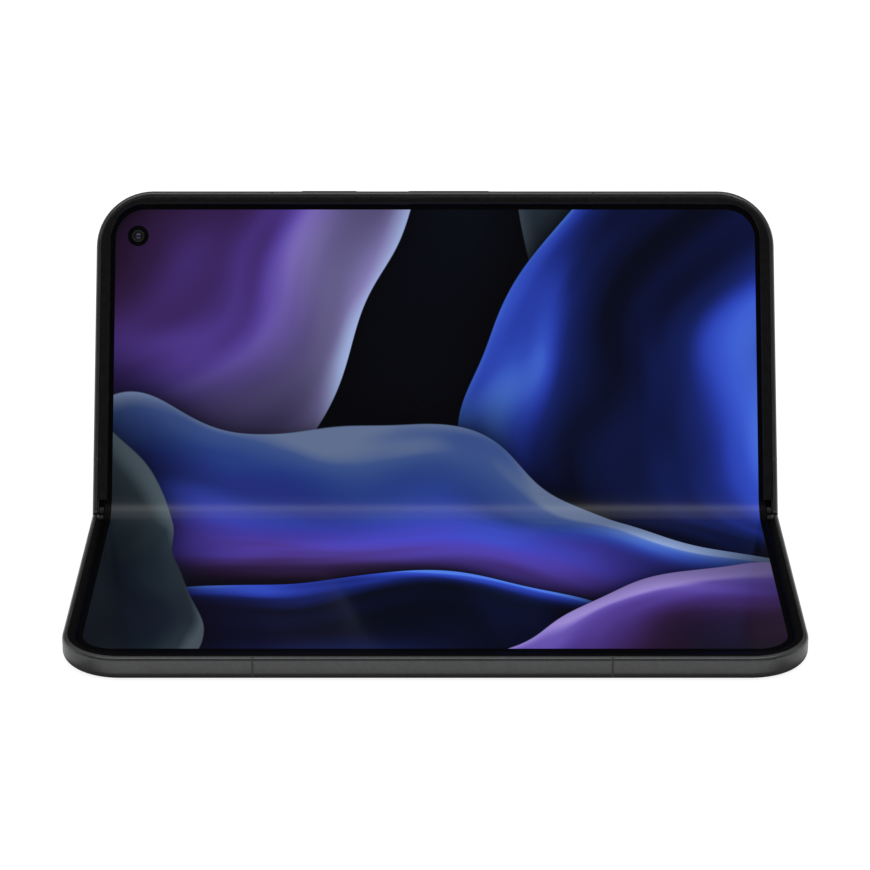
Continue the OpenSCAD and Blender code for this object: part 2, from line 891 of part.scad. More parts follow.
module bracket_body(x0, len) {
    head_w = 1.4;
    difference() {
        along_x(x0 - len / 2, len) spine_outline(bracket_r, bracket_top);
        spine_notches();
        spine_screw_bores(thread_gap);
        for (x = bracket_screws(x0, len))
            translate([x, 0, bracket_top - 0.4]) cylinder(h = 1, r = head_w / 2 + 0.05);
    }
}

module rail_groove(side, x0) {
    along_x(x0 - rail_gap, rail_w + 2 * rail_gap) translate([side * axis_u, axis_w]) difference() {
        circle(rail_out_r + rail_gap);
        circle(rail_in_r - rail_gap);
    }
}

module guide_bracket(i) {
    side = i == 0 ? -1 : 1;
    difference() {
        bracket_body(side * guide_x, guide_len);
        for (s = [-1, 1])
            rail_groove(s, arm_starts(s)[i]);
    }
}

module hinge_bracket_left() {
    color("#77797d") spine_place() guide_bracket(0);
}

module hinge_bracket_right() {
    color("#77797d") spine_place() guide_bracket(1);
}

module gear_bracket() {
    room = gear_w / 2 + 0.15;
    color("#77797d") spine_place() difference() {
        bracket_body(0, gear_bracket_len);
        along_x(-room, 2 * room) union() {
            spine_outline(bracket_r - 0.35, bracket_top + 1);
            for (s = [-1, 1])
                translate([s * idler_y, idler_z]) circle(idler_r + addendum + 0.08);
        }
        for (s = [-1, 1])
            translate([-room - shaft_len - 0.1, s * idler_y, idler_z]) rotate([0, 90, 0])
                cylinder(h = 2 * (room + shaft_len + 0.1), r = shaft_r + run_gap);
    }
}

// Small gear with its shaft, turned to where it meshes as the phone stands
module idler(side, phase) {
    spine_place() union() {
        along_x(-gear_w / 2, gear_w) translate([side * idler_y, idler_z]) union() {
            circle(idler_r - dedendum);
            for (k = [0:idler_teeth - 1])
                polygon(tooth(idler_r, phase + k * 360 / idler_teeth));
        }
        translate([-gear_w / 2 - shaft_len, side * idler_y, idler_z]) rotate([0, 90, 0])
            cylinder(h = gear_w + 2 * shaft_len, r = shaft_r);
    }
}

module gear_lower() {
    color("#a5a7aa") idler(-1, lower_idler_phase + half_turn * gear_ratio);
}

module gear_upper() {
    color("#a5a7aa") idler(1, upper_idler_phase - half_turn * gear_ratio);
}

module spine_screws() {
    low = axis_w - spine_r + 0.25;
    color("#c4c6c8") spine_place() for (x = spine_screw_xs)
        translate([x, 0, low]) union() {
            cylinder(h = bracket_top - 0.2 - low, r = spine_screw_r);
            translate([0, 0, bracket_top - 0.4 - low]) cylinder(h = 0.3, r = 0.7);
        }
}

// Caps that close the spine and carry the pins of the fold
module end_cap(side) {
    boss_r = 1;
    spigot = 1.5;
    spine_place() mirror([side > 0 ? 0 : 1, 0, 0]) union() {
        along_x(cover_x, cap_t) union() {
            spine_outline(spine_r, spine_top);
            for (s = [-1, 1])
                translate([s * axis_u, axis_w]) circle(boss_r);
        }
        along_x(cover_x - spigot, spigot + 0.1) spine_outline(bracket_r, bracket_top);
        for (s = [-1, 1])
            translate([cap_x - 0.1, s * axis_u, axis_w]) rotate([0, 90, 0])
                cylinder(h = cap_gap + pin_len + 0.1, r = pin_r);
    }
}

module end_cap_left() {
    color("#55565a") end_cap(-1);
}

module end_cap_right() {
    color("#55565a") end_cap(1);
}

// The bending stretch of the display, as it lies in the standing phone
function up_in_spine(u, w) = turned([u, w], [axis_u, axis_w], half_turn);
function low_in_spine(u, w) = [-up_in_spine(u, w)[0], up_in_spine(u, w)[1]];
bend_z = up_in_spine(bend_corner_u, display_top)[1] + fold_r / cos(half_turn);
bend_steps = 12;
function bend(r) = [
    for (i = [0:bend_steps]) let (a = half_turn * (2 * i / bend_steps - 1)) [r * sin(a), bend_z - r * cos(a)]
];
function backwards(p) = [for (i = [len(p) - 1:-1:0]) p[i]];

module display_fold() {
    u = fold_u - seam_gap;
    color("#1b2140") spine_place() along_x(-display_x, 2 * display_x) polygon(concat(
        [low_in_spine(u, display_top)], bend(fold_r), [up_in_spine(u, display_top)],
        [up_in_spine(u, display_low)], backwards(bend(fold_r + display_t)), [low_in_spine(u, display_low)]
    ));
}

// Flat cables over the spine's walls, with a little slack in the middle
flex_path = [
    up_in_spine(arm_u - 1, flex_in_w), up_in_spine(plate_u + 0.35, flex_in_w),
    [axis_u + 2.05, axis_w - 0.8], [axis_u + 1.05, axis_w - 1.2], [axis_u, axis_w - 1.75], [0, axis_w - 2]
];
flex_line = concat(
    [for (p = flex_path) [-p[0], p[1]]], [for (i = [len(flex_path) - 2:-1:0]) flex_path[i]]
);
function unit(v) = v / norm(v);
function across(p, i) =
    let (d = unit(p[min(i + 1, len(p) - 1)] - p[max(i - 1, 0)])) [-d[1], d[0]];
function beside(p, t) = [for (i = [0:len(p) - 1]) p[i] + t * across(p, i)];

module hinge_flex(side) {
    spine_place() along_x(side * flex_x - flex_w / 2, flex_w)
        polygon(concat(beside(flex_line, flex_t / 2), backwards(beside(flex_line, -flex_t / 2))));
}

module hinge_flex_left() {
    color("#8a5a2b") hinge_flex(-1);
}

module hinge_flex_right() {
    color("#8a5a2b") hinge_flex(1);
}

// Upper frame
usb_u = half_w / 2;
usb_mid = half_t / 2;
usb_out_w = usb_w + 2 * usb_wall;
usb_out_h = usb_h + 2 * usb_wall;
main_speaker_end = half_w - corner_r + 0.7;
main_speaker_len = min(16, main_speaker_end - usb_u - 9.4);
main_speaker_u = main_speaker_end - main_speaker_len / 2;
mic_u = 18;
cam_x = inner_cam_x - end_x;
cam_u = half_w - inner_cam_u;

module button_slot(x, len) {
    g = button_gap;
    block(x - len / 2 - g, half_w - rim_w - 1, band_mid - button_w / 2 - g,
        [len + 2 * g, rim_w + 2, button_w + 2 * g]);
}

module camera_hole() {
    translate([cam_x, cam_u, 0]) cylinder(h = half_t, r = inner_cam_r + 0.15);
}

module upper_frame() {
    color("#3a3b3e") upper_place() difference() {
        half_frame(1);
        button_slot(power_x, power_len);
        button_slot(volume_x, volume_len);
        end_pill(1, usb_u, usb_mid, usb_out_w + 0.06, usb_out_h + 0.06, usb_depth + 1);
        for (i = [-1.5:1:1.5])
            end_pill(1, main_speaker_u + i * slot_pitch, band_mid, speaker_slot, speaker_h, rim_w + 1);
        for (s = [-1, 1])
            translate([s * (end_x - rim_w - 1), mic_u, band_mid]) rotate([0, s * 90, 0])
                cylinder(h = rim_w + 2, r = mic_r);
        camera_hole();
    }
}

module upper_antenna_bands() {
    color("#4a4b4d") upper_place() antenna_bands();
}

module upper_bezel() {
    color("#151516") upper_place() bezel();
}

module display_upper() {
    color("#1b2140") upper_place() difference() {
        display_flat();
        camera_hole();
    }
}

module upper_support_plate() {
    color("#8a8d90") upper_place() difference() {
        support_plate();
        camera_hole();
    }
}

module inner_camera() {
    base = 5.2;
    low = ledge_top + 0.2;
    color("#202226") upper_place() union() {
        translate([cam_x, cam_u, low + 0.5]) cylinder(h = display_top - 0.05 - low - 0.5, r = inner_cam_r);
        block(cam_x - base / 2, cam_u - base / 2, low, [base, base, web_low - low]);
    }
}

// Buttons: a cap through the frame's wall, and a flange behind it
flange_t = 0.45;
flange_side = 0.6;
power_gap = 0.05;
rocker_gap = 0.25;

module button(x, len, gap) {
    flange_low = band_mid - button_w / 2 - 0.3;
    union() {
        translate([x, half_w + button_proud, band_mid]) rotate([90, 0, 0])
            linear_extrude(button_proud + rim_w + gap + 0.1) pill(len, button_w);
        block(x - len / 2 - flange_side, half_w - rim_w - gap - flange_t, flange_low,
            [len + 2 * flange_side, flange_t, web_low - 0.05 - flange_low]);
    }
}

module power_button() {
    color("#3a3b3e") upper_place() button(power_x, power_len, power_gap);
}

module volume_rocker() {
    color("#3a3b3e") upper_place() button(volume_x, volume_len, rocker_gap);
}

// Domes on a strip: a pressed button reaches its dome at the end of its travel
module switch_dome(x, gap, strip_u) {
    top_u = half_w - rim_w - gap - flange_t - button_travel - 0.02;
    translate([x, top_u, band_mid - 0.2]) rotate([90, 0, 0]) cylinder(h = top_u - strip_u, r = 0.7);
}

module button_switches() {
    strip_t = 0.2;
    strip_low = band_mid - 1;
    strip_u = half_w - rim_w - rocker_gap - flange_t - button_travel - 0.5;
    x0 = power_x - power_len / 2 - 2;
    x1 = volume_x + volume_len / 2 + 1;
    color("#8a5a2b") upper_place() union() {
        block(x0, strip_u, strip_low, [x1 - x0, strip_t, web_low - 0.05 - strip_low]);
        switch_dome(power_x, power_gap, strip_u);
        for (s = [-1, 1])
            switch_dome(volume_x + s * volume_len / 3, rocker_gap, strip_u);
    }
}

// Back glass and the camera island
island_cx = island_x + island_len / 2 - end_x;
island_cu = half_w - island_u - island_w / 2;
window_dx = island_len / 2 - window_w / 2 - 3;
island_wall = 1;
window_t = 0.5;

module on_back(x, u) {
    translate([x, u, 0]) mirror([0, 0, 1]) children();
}

module back_glass() {
    color("#2b2c2f") upper_place() difference() {
        outer_glass();
        translate([island_cx, island_cu, -1]) linear_extrude(glass_t + 2)
            round_rect(island_len + 2 * glass_gap, island_w + 2 * glass_gap, island_r + glass_gap);
    }
}

module island_edge_section() {
    edge = 0.8;
    union() {
        translate([edge, island_h - edge]) circle(edge);
        translate([0, -glass_t]) square([island_r, island_h + glass_t - edge]);
        translate([edge, island_h - edge]) square([island_r - edge, edge]);
    }
}

// A section swept around a rectangle with round corners
module around(x, y, r) {
    for (s = [0, 1])
        mirror([0, s, 0]) translate([r - x / 2, y / 2, 0]) rotate([90, 0, 90]) mirror([1, 0, 0])
            linear_extrude(x - 2 * r) children();
    for (s = [0, 1])
        mirror([s, 0, 0]) translate([x / 2, y / 2 - r, 0]) rotate([90, 0, 0]) mirror([1, 0, 0])
            linear_extrude(y - 2 * r) children();
    for (sx = [0, 1])
        for (sy = [0, 1])
            mirror([sx, 0, 0]) mirror([0, sy, 0]) translate([x / 2 - r, y / 2 - r, 0])
                rotate_extrude(angle = 90) translate([r, 0]) mirror([1, 0]) children();
}

module window_holes(play) {
    for (s = [-1, 1])
        translate([s * window_dx, 0]) rotate([0, 0, 90]) pill(window_len + 2 * play, window_w + 2 * play);
}

module camera_island() {
    wall = 1.5;
    flange = 1.2;
    color("#3d3e42") upper_place() on_back(island_cx, island_cu) difference() {
        union() {
            around(island_len, island_w, island_r) island_edge_section();
            translate([island_r - island_len / 2, island_r - island_w / 2, -glass_t])
                cube([island_len - 2 * island_r, island_w - 2 * island_r, island_h + glass_t]);
            translate([0, 0, -glass_t - 0.4]) linear_extrude(0.4)
                round_rect(island_len + 2 * flange, island_w + 2 * flange, island_r + flange);
        }
        translate([0, 0, -glass_t - 1]) linear_extrude(island_h + glass_t + 1 - island_wall)
            round_rect(island_len - 2 * wall, island_w - 2 * wall, island_r - wall);
        translate([0, 0, island_h - window_t]) linear_extrude(1) window_holes(glass_gap);
        for (p = lens_places)
            translate([p[0], p[1], 0]) cylinder(h = island_h, r = p[2] + 0.1);
    }
}

module camera_windows() {
    color("#0b0c0f") upper_place() on_back(island_cx, island_cu)
        translate([0, 0, island_h - window_t]) linear_extrude(window_t - 0.03) window_holes(0);
}

flash_r = 2.2;
lens_places = [
    [-window_dx, window_len / 5, lens_r], [-window_dx, -window_len / 6, lens_r],
    [window_dx, -window_len / 6, lens_r], [window_dx, window_len / 5, flash_r]
];

module rear_camera(i, size) {
    base = ledge_top + 0.1;
    p = lens_places[i];
    upper_place() on_back(island_cx, island_cu) union() {
        translate([p[0], p[1], -base]) cylinder(h = base + island_h - window_t - 0.02, r = p[2]);
        translate([p[0] - size / 2, p[1] - size / 2, -web_low]) cube([size, size, web_low - base + 0.1]);
    }
}

module wide_camera() {
    color("#1c1d21") rear_camera(0, 12);
}

module ultrawide_camera() {
    color("#1c1d21") rear_camera(1, 11);
}

module tele_camera() {
    color("#1c1d21") rear_camera(2, 12);
}

module flash_lamp() {
    color("#e8e2cf") rear_camera(3, 6);
}

// Port, speaker and boards at the right end
usb_mouth_x = end_x - 0.25;

module usb_c_port() {
    color("#b9bcc0") upper_place() translate([usb_mouth_x - usb_depth, usb_u, usb_mid]) rotate([90, 0, 90])
        difference() {
            linear_extrude(usb_depth) pill(usb_out_w, usb_out_h);
            translate([0, 0, 0.5]) linear_extrude(usb_depth) pill(usb_w, usb_h);
        }
}

module usb_c_tongue() {
    tongue_len = 4.6;
    color("#1a1a1c") upper_place() translate([usb_mouth_x - usb_depth + 0.5, usb_u, usb_mid])
        rotate([90, 0, 90]) union() {
            linear_extrude(usb_depth - 1 - 0.5) square([tongue_w, tongue_t], center = true);
            linear_extrude(usb_depth - 1 - tongue_len) pill(usb_w - 0.1, usb_h - 0.1);
        }
}

module charge_board() {
    x1 = usb_mouth_x - usb_depth - 0.1;
    len = upper_end_zone - 12;
    width = 18;
    chip_w = 6;
    color("#14532d") upper_place() union() {
        block(x1 - len, usb_u - width / 2, usb_mid - board_t / 2, [len, width, board_t]);
        block(x1 - len + 2, usb_u - chip_w, usb_mid, [len - 6, chip_w, web_low - usb_mid]);
    }
}

module main_speaker() {
    depth = upper_end_zone - 8;
    low = ledge_top + 0.2;
    color("#303236") upper_place()
        block(end_x - rim_w - 0.1 - depth, main_speaker_end - main_speaker_len, low,
            [depth, main_speaker_len, web_low - low]);
}

board_x0 = island_cx + island_len / 2 + 2.4;
board_x1 = end_x - upper_end_zone - 0.5;
board_u0 = half_w - upper_edge_zone + 1;
board_u1 = half_w - 3.5;
board_low = ledge_top + 0.6;

module main_board() {
    shield_low = board_low + board_t - 0.1;
    shield_w = board_u1 - board_u0 - 2;
    room = (board_x1 - board_x0 - 14) / 3;
    color("#7d8a80") upper_place() union() {
        block(board_x0, board_u0, board_low, [board_x1 - board_x0, board_u1 - board_u0, board_t]);
        block(board_x1 - 9, board_u0 + 2, board_low + board_t - 0.1, [6, 12, 0.8]);
        for (i = [0:2])
            block(board_x0 + 2 + i * room, board_u0 + 1, shield_low,
                [room - 1.5, shield_w, web_low - shield_low]);
    }
}

module upper_battery() {
    x0 = board_x0;
    x1 = end_x - upper_end_zone;
    color("#24262b") upper_place()
        block(x0, inner_u, web_low - battery_t, [x1 - x0, half_w - upper_edge_zone - inner_u, battery_t]);
}

module charging_coil() {
    x = (board_x0 + board_x1) / 2;
    color("#9c6b3f") upper_place() translate([x, wall_u + coil_r + 1.5, glass_t]) difference() {
        cylinder(h = coil_t, r = coil_r);
        translate([0, 0, -1]) cylinder(h = 3, r = coil_r / 2);
    }
}

module upper_magnets() {
    color("#b8babd") upper_place() magnets();
}

module upper_arm_left() {
    color("#8f9296") upper_place() guide_arm(arm_starts(1)[0]);
}

module upper_arm_centre() {
    color("#8f9296") upper_place() sync_arm(upper_teeth);
}

module upper_arm_right() {
    color("#8f9296") upper_place() guide_arm(arm_starts(1)[1]);
}

module upper_arm_screws() {
    color("#c4c6c8") upper_place() arm_screws(1);
}

lower_frame();
lower_antenna_bands();
lower_bezel();
display_lower();
lower_support_plate();
cover_glass();
cover_panel();
cover_camera();
earpiece_mesh();
top_speaker();
lower_battery();
lower_board();
haptic_motor();
lower_magnets();
sim_tray();
sim_socket();
lower_arm_left();
lower_arm_centre();
lower_arm_right();
lower_arm_screws();
spine_cover();
end_cap_left();
end_cap_right();
hinge_bracket_left();
hinge_bracket_right();
gear_bracket();
gear_lower();
gear_upper();
spine_screws();
display_fold();
hinge_flex_left();
hinge_flex_right();
upper_frame();
upper_antenna_bands();
upper_bezel();
display_upper();
upper_support_plate();
inner_camera();
power_button();
volume_rocker();
button_switches();
back_glass();
camera_island();
camera_windows();
wide_camera();
ultrawide_camera();
tele_camera();
flash_lamp();
usb_c_port();
usb_c_tongue();
main_speaker();
charge_board();
main_board();
upper_battery();
charging_coil();
upper_magnets();
upper_arm_left();
upper_arm_centre();
upper_arm_right();
upper_arm_screws();
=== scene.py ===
"""Looks for the foldable smartphone: camera, light, materials and detailed pieces around its CAD frame."""
import json
import math

import bpy
import bmesh
from mathutils import Matrix, Vector

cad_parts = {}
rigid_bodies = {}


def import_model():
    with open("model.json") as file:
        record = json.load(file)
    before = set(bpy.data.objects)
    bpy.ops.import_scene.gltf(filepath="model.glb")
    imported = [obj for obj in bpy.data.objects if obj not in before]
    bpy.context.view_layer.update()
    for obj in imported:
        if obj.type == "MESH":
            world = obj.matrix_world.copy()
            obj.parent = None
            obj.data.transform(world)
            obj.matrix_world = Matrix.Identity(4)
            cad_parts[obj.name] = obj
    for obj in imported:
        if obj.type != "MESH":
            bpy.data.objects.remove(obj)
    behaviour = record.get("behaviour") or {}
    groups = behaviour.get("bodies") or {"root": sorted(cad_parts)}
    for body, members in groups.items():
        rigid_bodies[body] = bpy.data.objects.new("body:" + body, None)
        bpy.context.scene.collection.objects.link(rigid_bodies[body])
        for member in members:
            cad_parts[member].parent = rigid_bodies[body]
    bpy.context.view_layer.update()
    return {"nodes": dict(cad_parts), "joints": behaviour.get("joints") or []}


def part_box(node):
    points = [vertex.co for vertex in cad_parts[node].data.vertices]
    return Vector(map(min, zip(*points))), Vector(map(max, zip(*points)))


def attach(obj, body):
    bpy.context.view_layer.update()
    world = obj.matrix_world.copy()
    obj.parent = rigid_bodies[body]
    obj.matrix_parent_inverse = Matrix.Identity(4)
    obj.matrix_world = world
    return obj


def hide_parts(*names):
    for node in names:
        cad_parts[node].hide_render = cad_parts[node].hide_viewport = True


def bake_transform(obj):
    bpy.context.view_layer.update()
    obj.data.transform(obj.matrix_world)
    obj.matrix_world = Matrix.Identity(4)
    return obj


for leftover in list(bpy.data.objects):
    bpy.data.objects.remove(leftover)

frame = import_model()
nodes = frame["nodes"]
MM = 0.001
MICRON = 0.000001

# Sizes read from the frame, in metres
HALF_W = -2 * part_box("lower_frame")[0].y
END_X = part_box("lower_frame")[1].x
HALF_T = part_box("lower_frame")[1].z
DISPLAY_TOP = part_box("display_lower")[1].z
DISPLAY_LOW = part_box("display_lower")[0].z
DISPLAY_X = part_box("display_lower")[1].x
FOLD_U = HALF_W / 2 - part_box("display_lower")[1].y
BEZEL_U = HALF_W / 2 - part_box("lower_bezel")[1].y
joints = {j["name"]: j for j in frame["joints"]}
LOWER_AXIS = Vector(joints["spine_fold"]["pos_m"])
UPPER_AXIS = Vector(joints["upper_fold"]["pos_m"])
AXIS_W = LOWER_AXIS.z
AXIS_U = HALF_W / 2 - LOWER_AXIS.y

# Sizes that the frame doesn't give, in metres and radians. OPENING is how far the halves are from flat.
OPENING = math.radians(60)
CORNER_R = 12.9 * MM
DISPLAY_INSET = END_X - DISPLAY_X
DISPLAY_CORNER_R = 8.4 * MM
FOLD_R = 7.5 * MM
SEAM = 0.02 * MM
NEAR_AXIS = 0.001 * MM
SHARP = math.radians(35)

# Insets from the outline: of the bezel's outer and inner edge, and of the lit picture, whose black mask is
# wider in front by FRONT_MASK
RIM_TOP = 1.15 * MM
BEZEL_IN = 3.35 * MM
BEZEL_CORNER_R = 7.7 * MM
PICTURE_INSET = 4.37 * MM
FRONT_MASK = 1.16 * MM
PICTURE_CORNER_R = 6.8 * MM

# Heights from the outer glass that the camera modules lie between, and sizes of the cameras, the flash,
# the camera island and its windows
LEDGE_TOP = 1.1 * MM
WEB_LOW = 3.7 * MM
INNER_BARREL_R = 1.5 * MM
REAR_BARREL_R = 4.6 * MM
FLASH_R = 2.2 * MM
ISLAND_TOP = -2.4 * MM
WINDOW_T, WINDOW_SUNK = 0.5 * MM, 0.03 * MM

# Directions as the phone stands: out of the fold and across it, up the upper half, and out of its back
MIDDLE_WAY = Vector((0, -math.sin(OPENING / 2), math.cos(OPENING / 2)))
MIDDLE_ALONG = Vector((0, math.cos(OPENING / 2), math.sin(OPENING / 2)))
UP_THE_BACK = Vector((0, math.cos(OPENING), math.sin(OPENING)))
REARWARD = Vector((0, math.sin(OPENING), -math.cos(OPENING)))


def lower_point(x, u, w):
    """A point of the lower half: u is its distance from the fold, w its height from the outer glass."""
    return Vector((x, HALF_W / 2 - u, w))


def upper_point(x, u, w):
    """A point of the upper half as the phone stands."""
    turn = Matrix.Rotation(OPENING, 3, "X")
    return Vector((x, 0, 0)) + UPPER_AXIS + turn @ Vector((0, u - AXIS_U, w - AXIS_W))


def upper_place(point):
    """The x, u and w of a point of the upper half: the reverse of upper_point."""
    flat = Matrix.Rotation(-OPENING, 3, "X") @ (point - UPPER_AXIS)
    return point.x, flat.y + AXIS_U, flat.z + AXIS_W


def spine_point(x, y, z):
    """A point of the spine: y runs across the fold towards the upper half, z out of the display."""
    turn = Matrix.Rotation(OPENING / 2, 3, "X")
    return Vector((x, 0, 0)) + LOWER_AXIS + turn @ Vector((0, y + AXIS_U, z - AXIS_W))


def middle(node):
    """Centre of a CAD node's box."""
    low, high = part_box(node)
    return (low + high) / 2


# Node trees

class Tree:
    """Short calls for one node tree."""

    def __init__(self, tree):
        self.tree = tree
        self.tree.nodes.clear()

    def put(self, socket, value):
        """Feeds a socket from another socket, or writes a plain value on it."""
        if isinstance(value, bpy.types.NodeSocket):
            self.tree.links.new(value, socket)
        elif value is not None:
            socket.default_value = value

    def node(self, kind, values=None, **settings):
        made = self.tree.nodes.new("ShaderNode" + kind)
        for name, setting in settings.items():
            setattr(made, name, setting)
        for name, value in (values or {}).items():
            self.put(made.inputs[name], value)
        return made

    def math(self, operation, a, b=None, clamp=False):
        return self.node("Math", {0: a, 1: b}, operation=operation, use_clamp=clamp).outputs[0]

    def product(self, *values):
        """Values multiplied by each other."""
        result = values[0]
        for value in values[1:]:
            result = self.math("MULTIPLY", result, value)
        return result

    def rest(self, value):
        """What a value leaves of 1."""
        return self.math("SUBTRACT", 1.0, value)

    def length(self, a, b):
        """Length of a line that runs a one way and b across."""
        return self.math("SQRT", self.math("ADD", self.math("POWER", a, 2.0), self.math("POWER", b, 2.0)))

    def vector(self, operation, a, b):
        return self.node("VectorMath", {0: a, 1: b}, operation=operation).outputs[0]

    def dot(self, a, b):
        return self.node("VectorMath", {0: a, 1: b}, operation="DOT_PRODUCT").outputs["Value"]

    def distance(self, a, b):
        return self.node("VectorMath", {0: a, 1: b}, operation="DISTANCE").outputs["Value"]

    def mix(self, factor, a, b):
        """A colour from a to b. Plain colours may leave out their fourth value, which is 1."""
        a, b = ((*v, 1) if isinstance(v, tuple) and len(v) == 3 else v for v in (a, b))
        made = self.node("Mix", data_type="RGBA")
        for socket, value in zip((made.inputs[0], made.inputs[6], made.inputs[7]), (factor, a, b)):
            self.put(socket, value)
        return made.outputs[2]

    def span(self, value, low, high, to_low=0.0, to_high=1.0, smooth=False):
        """Maps a value from one range to another, and stays within it."""
        kind = "SMOOTHSTEP" if smooth else "LINEAR"
        values = {"Value": value, "From Min": low, "From Max": high, "To Min": to_low, "To Max": to_high}
        return self.node("MapRange", values, interpolation_type=kind).outputs[0]

    def ridges(self, value, pitch):
        """A wave of 0 to 1 along a value, one for each pitch."""
        return self.span(self.math("SINE", self.math("MULTIPLY", value, math.tau / pitch)), -1, 1)

    def ramp(self, value, stops):
        """Colours along a value: stops are (place, colour)."""
        made = self.node("ValToRGB", {"Fac": value})
        made.color_ramp.interpolation = "B_SPLINE" if len(stops) > 3 else "EASE"
        points = made.color_ramp.elements
        while len(points) < len(stops):
            points.new(0.5)
        for point, (place, colour) in zip(points, stops):
            point.position = place
            point.color = (*colour, 1)
        return made.outputs["Color"]

    def noise(self, place, scale, detail=2.0, stretch=(1, 1, 1)):
        """Noise between about 0.3 and 0.7, with scale in lumps per metre."""
        if stretch != (1, 1, 1):
            place = self.vector("MULTIPLY", place, stretch)
        values = {"Vector": place, "Scale": scale, "Detail": detail}
        return self.node("TexNoise", values).outputs["Fac"]


def grey(level):
    """A linear grey."""
    return (level, level, level)


def srgb(*levels):
    """A colour written as 0 to 255 display levels, as linear values."""
    shares = [level / 255 for level in levels]
    return tuple(s / 12.92 if s <= 0.04045 else ((s + 0.055) / 1.055) ** 2.4 for s in shares)


class Finish(Tree):
    """A material around one Principled surface."""

    def __init__(self, name, colour, roughness, metallic=0.0, **plain):
        self.material = bpy.data.materials.new(name)
        self.material.use_nodes = True
        super().__init__(self.material.node_tree)
        self.surface = self.node("BsdfPrincipled")
        out = self.node("OutputMaterial")
        self.put(out.inputs["Surface"], self.surface.outputs[0])
        coordinates = self.node("TexCoord")
        self.place = coordinates.outputs["Object"]
        self.normal = coordinates.outputs["Normal"]
        self.colour = colour
        self.set("Base Color", (*colour, 1))
        self.set("Roughness", roughness)
        self.set("Metallic", metallic)
        for name, value in plain.items():
            self.set(name.replace("_", " "), value)

    def set(self, name, value):
        self.put(self.surface.inputs[name], value)

    def vary_colour(self, amount, scale, stretch=(1, 1, 1)):
        """Lets the base colour drift lighter and darker by a share of itself."""
        drift = self.span(self.noise(self.place, scale, 3.0, stretch), 0.3, 0.7)
        dark = tuple(level * (1 - amount) for level in self.colour)
        light = tuple(level * (1 + amount) for level in self.colour)
        self.set("Base Color", self.mix(drift, dark, light))

    def vary_roughness(self, low, high, scale, stretch=(1, 1, 1)):
        self.set("Roughness", self.span(self.noise(self.place, scale, 3.0, stretch), 0.3, 0.7, low, high))

    def bump(self, height, depth):
        """Raises the surface by a height of 0 to 1, times a depth in metres."""
        made = self.node("Bump", {"Height": height, "Distance": depth, "Strength": 1.0})
        self.set("Normal", made.outputs[0])


# Materials. Scales of noise are in lumps per metre.

def metal(name, colour, roughness):
    """Bead-blasted and anodised metal: fine matt grain with a faint drift of tone."""
    made = Finish(name, colour, roughness, metallic=1.0)
    made.vary_colour(0.06, scale=900)
    made.vary_roughness(roughness - 0.03, roughness + 0.04, scale=300)
    made.bump(made.noise(made.place, scale=9000), 2 * MICRON)
    return made.material


def spine_shell(name, colour, roughness):
    """The hinge's shell: satin metal outside, and a black coat on what faces the display."""
    made = Finish(name, colour, roughness)
    inner = made.span(made.dot(made.normal, tuple(MIDDLE_WAY)), 0.12, 0.2)
    made.set("Base Color", made.mix(inner, colour, srgb(12, 12, 13)))
    made.set("Metallic", made.rest(inner))
    grain = made.noise(made.place, scale=7000, stretch=(0.1, 1, 1))
    made.set("Roughness", made.span(grain, 0.3, 0.7, roughness - 0.05, roughness + 0.07))
    made.bump(grain, 2 * MICRON)
    return made.material


def brushed(name, colour, roughness):
    """Machined or sintered steel, with fine tool lines along the fold."""
    made = Finish(name, colour, roughness, metallic=1.0)
    lines = (0.04, 1, 1)
    made.vary_colour(0.1, scale=6000, stretch=lines)
    made.vary_roughness(roughness - 0.08, roughness + 0.1, scale=5000, stretch=lines)
    made.bump(made.noise(made.place, scale=12000, stretch=lines), 4 * MICRON)
    return made.material


def plastic(name, colour, roughness, **plain):
    """Moulded plastic with a fine spark-eroded grain."""
    made = Finish(name, colour, roughness, **plain)
    made.vary_colour(0.08, scale=1500)
    made.vary_roughness(roughness - 0.05, roughness + 0.06, scale=700)
    made.bump(made.noise(made.place, scale=5000, detail=3.0), 4 * MICRON)
    return made.material


def printed_glass(name, colour, roughness=0.04):
    """Glass printed black behind: deep gloss, with faint smears in the shine. Gives back the finish, so that
    a caller can add to it."""
    made = Finish(name, colour, roughness)
    made.vary_colour(0.05, scale=200)
    made.vary_roughness(roughness, roughness + 0.04, scale=60)
    made.bump(made.noise(made.place, scale=50, detail=1.0), 6 * MICRON)
    return made


def etched_glass(name, colour):
    """Back glass etched matt, with a silky sparkle of fine pits."""
    made = Finish(name, colour, 0.34)
    made.vary_colour(0.05, scale=4000)
    made.vary_roughness(0.3, 0.38, scale=2500)
    made.bump(made.noise(made.place, scale=14000), 1 * MICRON)
    return made.material


def coated_lens(name, centre, radius, stops):
    """Dark lens glass with a painted reflection of its coating, in rings of colour: stops are shares of the
    radius.
    """
    made = Finish(name, srgb(4, 4, 6), 0.03, Coat_Weight=0.6, Coat_Roughness=0.02)
    ring = made.math("DIVIDE", made.distance(made.place, tuple(centre)), radius)
    # Painted reflection of the coating, in the base colour
    made.set("Base Color", made.ramp(ring, stops))
    made.vary_roughness(0.02, 0.05, scale=900)
    made.bump(made.noise(made.place, scale=300, detail=1.0), 2 * MICRON)
    return made.material


def baffle(name, centre, pitch):
    """Black barrel with fine ridges turned round the lens, which swallow stray light. The grooves have
    painted shade and the ridges are painted lighter.
    """
    made = Finish(name, srgb(9, 9, 10), 0.55, Specular_IOR_Level=0.3)
    ridge = made.ridges(made.distance(made.place, tuple(centre)), pitch)
    # Painted shade in the grooves, painted lighter on the ridges
    made.set("Base Color", made.mix(ridge, srgb(5, 5, 6), srgb(20, 20, 22)))
    made.set("Roughness", made.span(ridge, 0, 1, 0.6, 0.42))
    made.bump(ridge, 30 * MICRON)
    return made.material


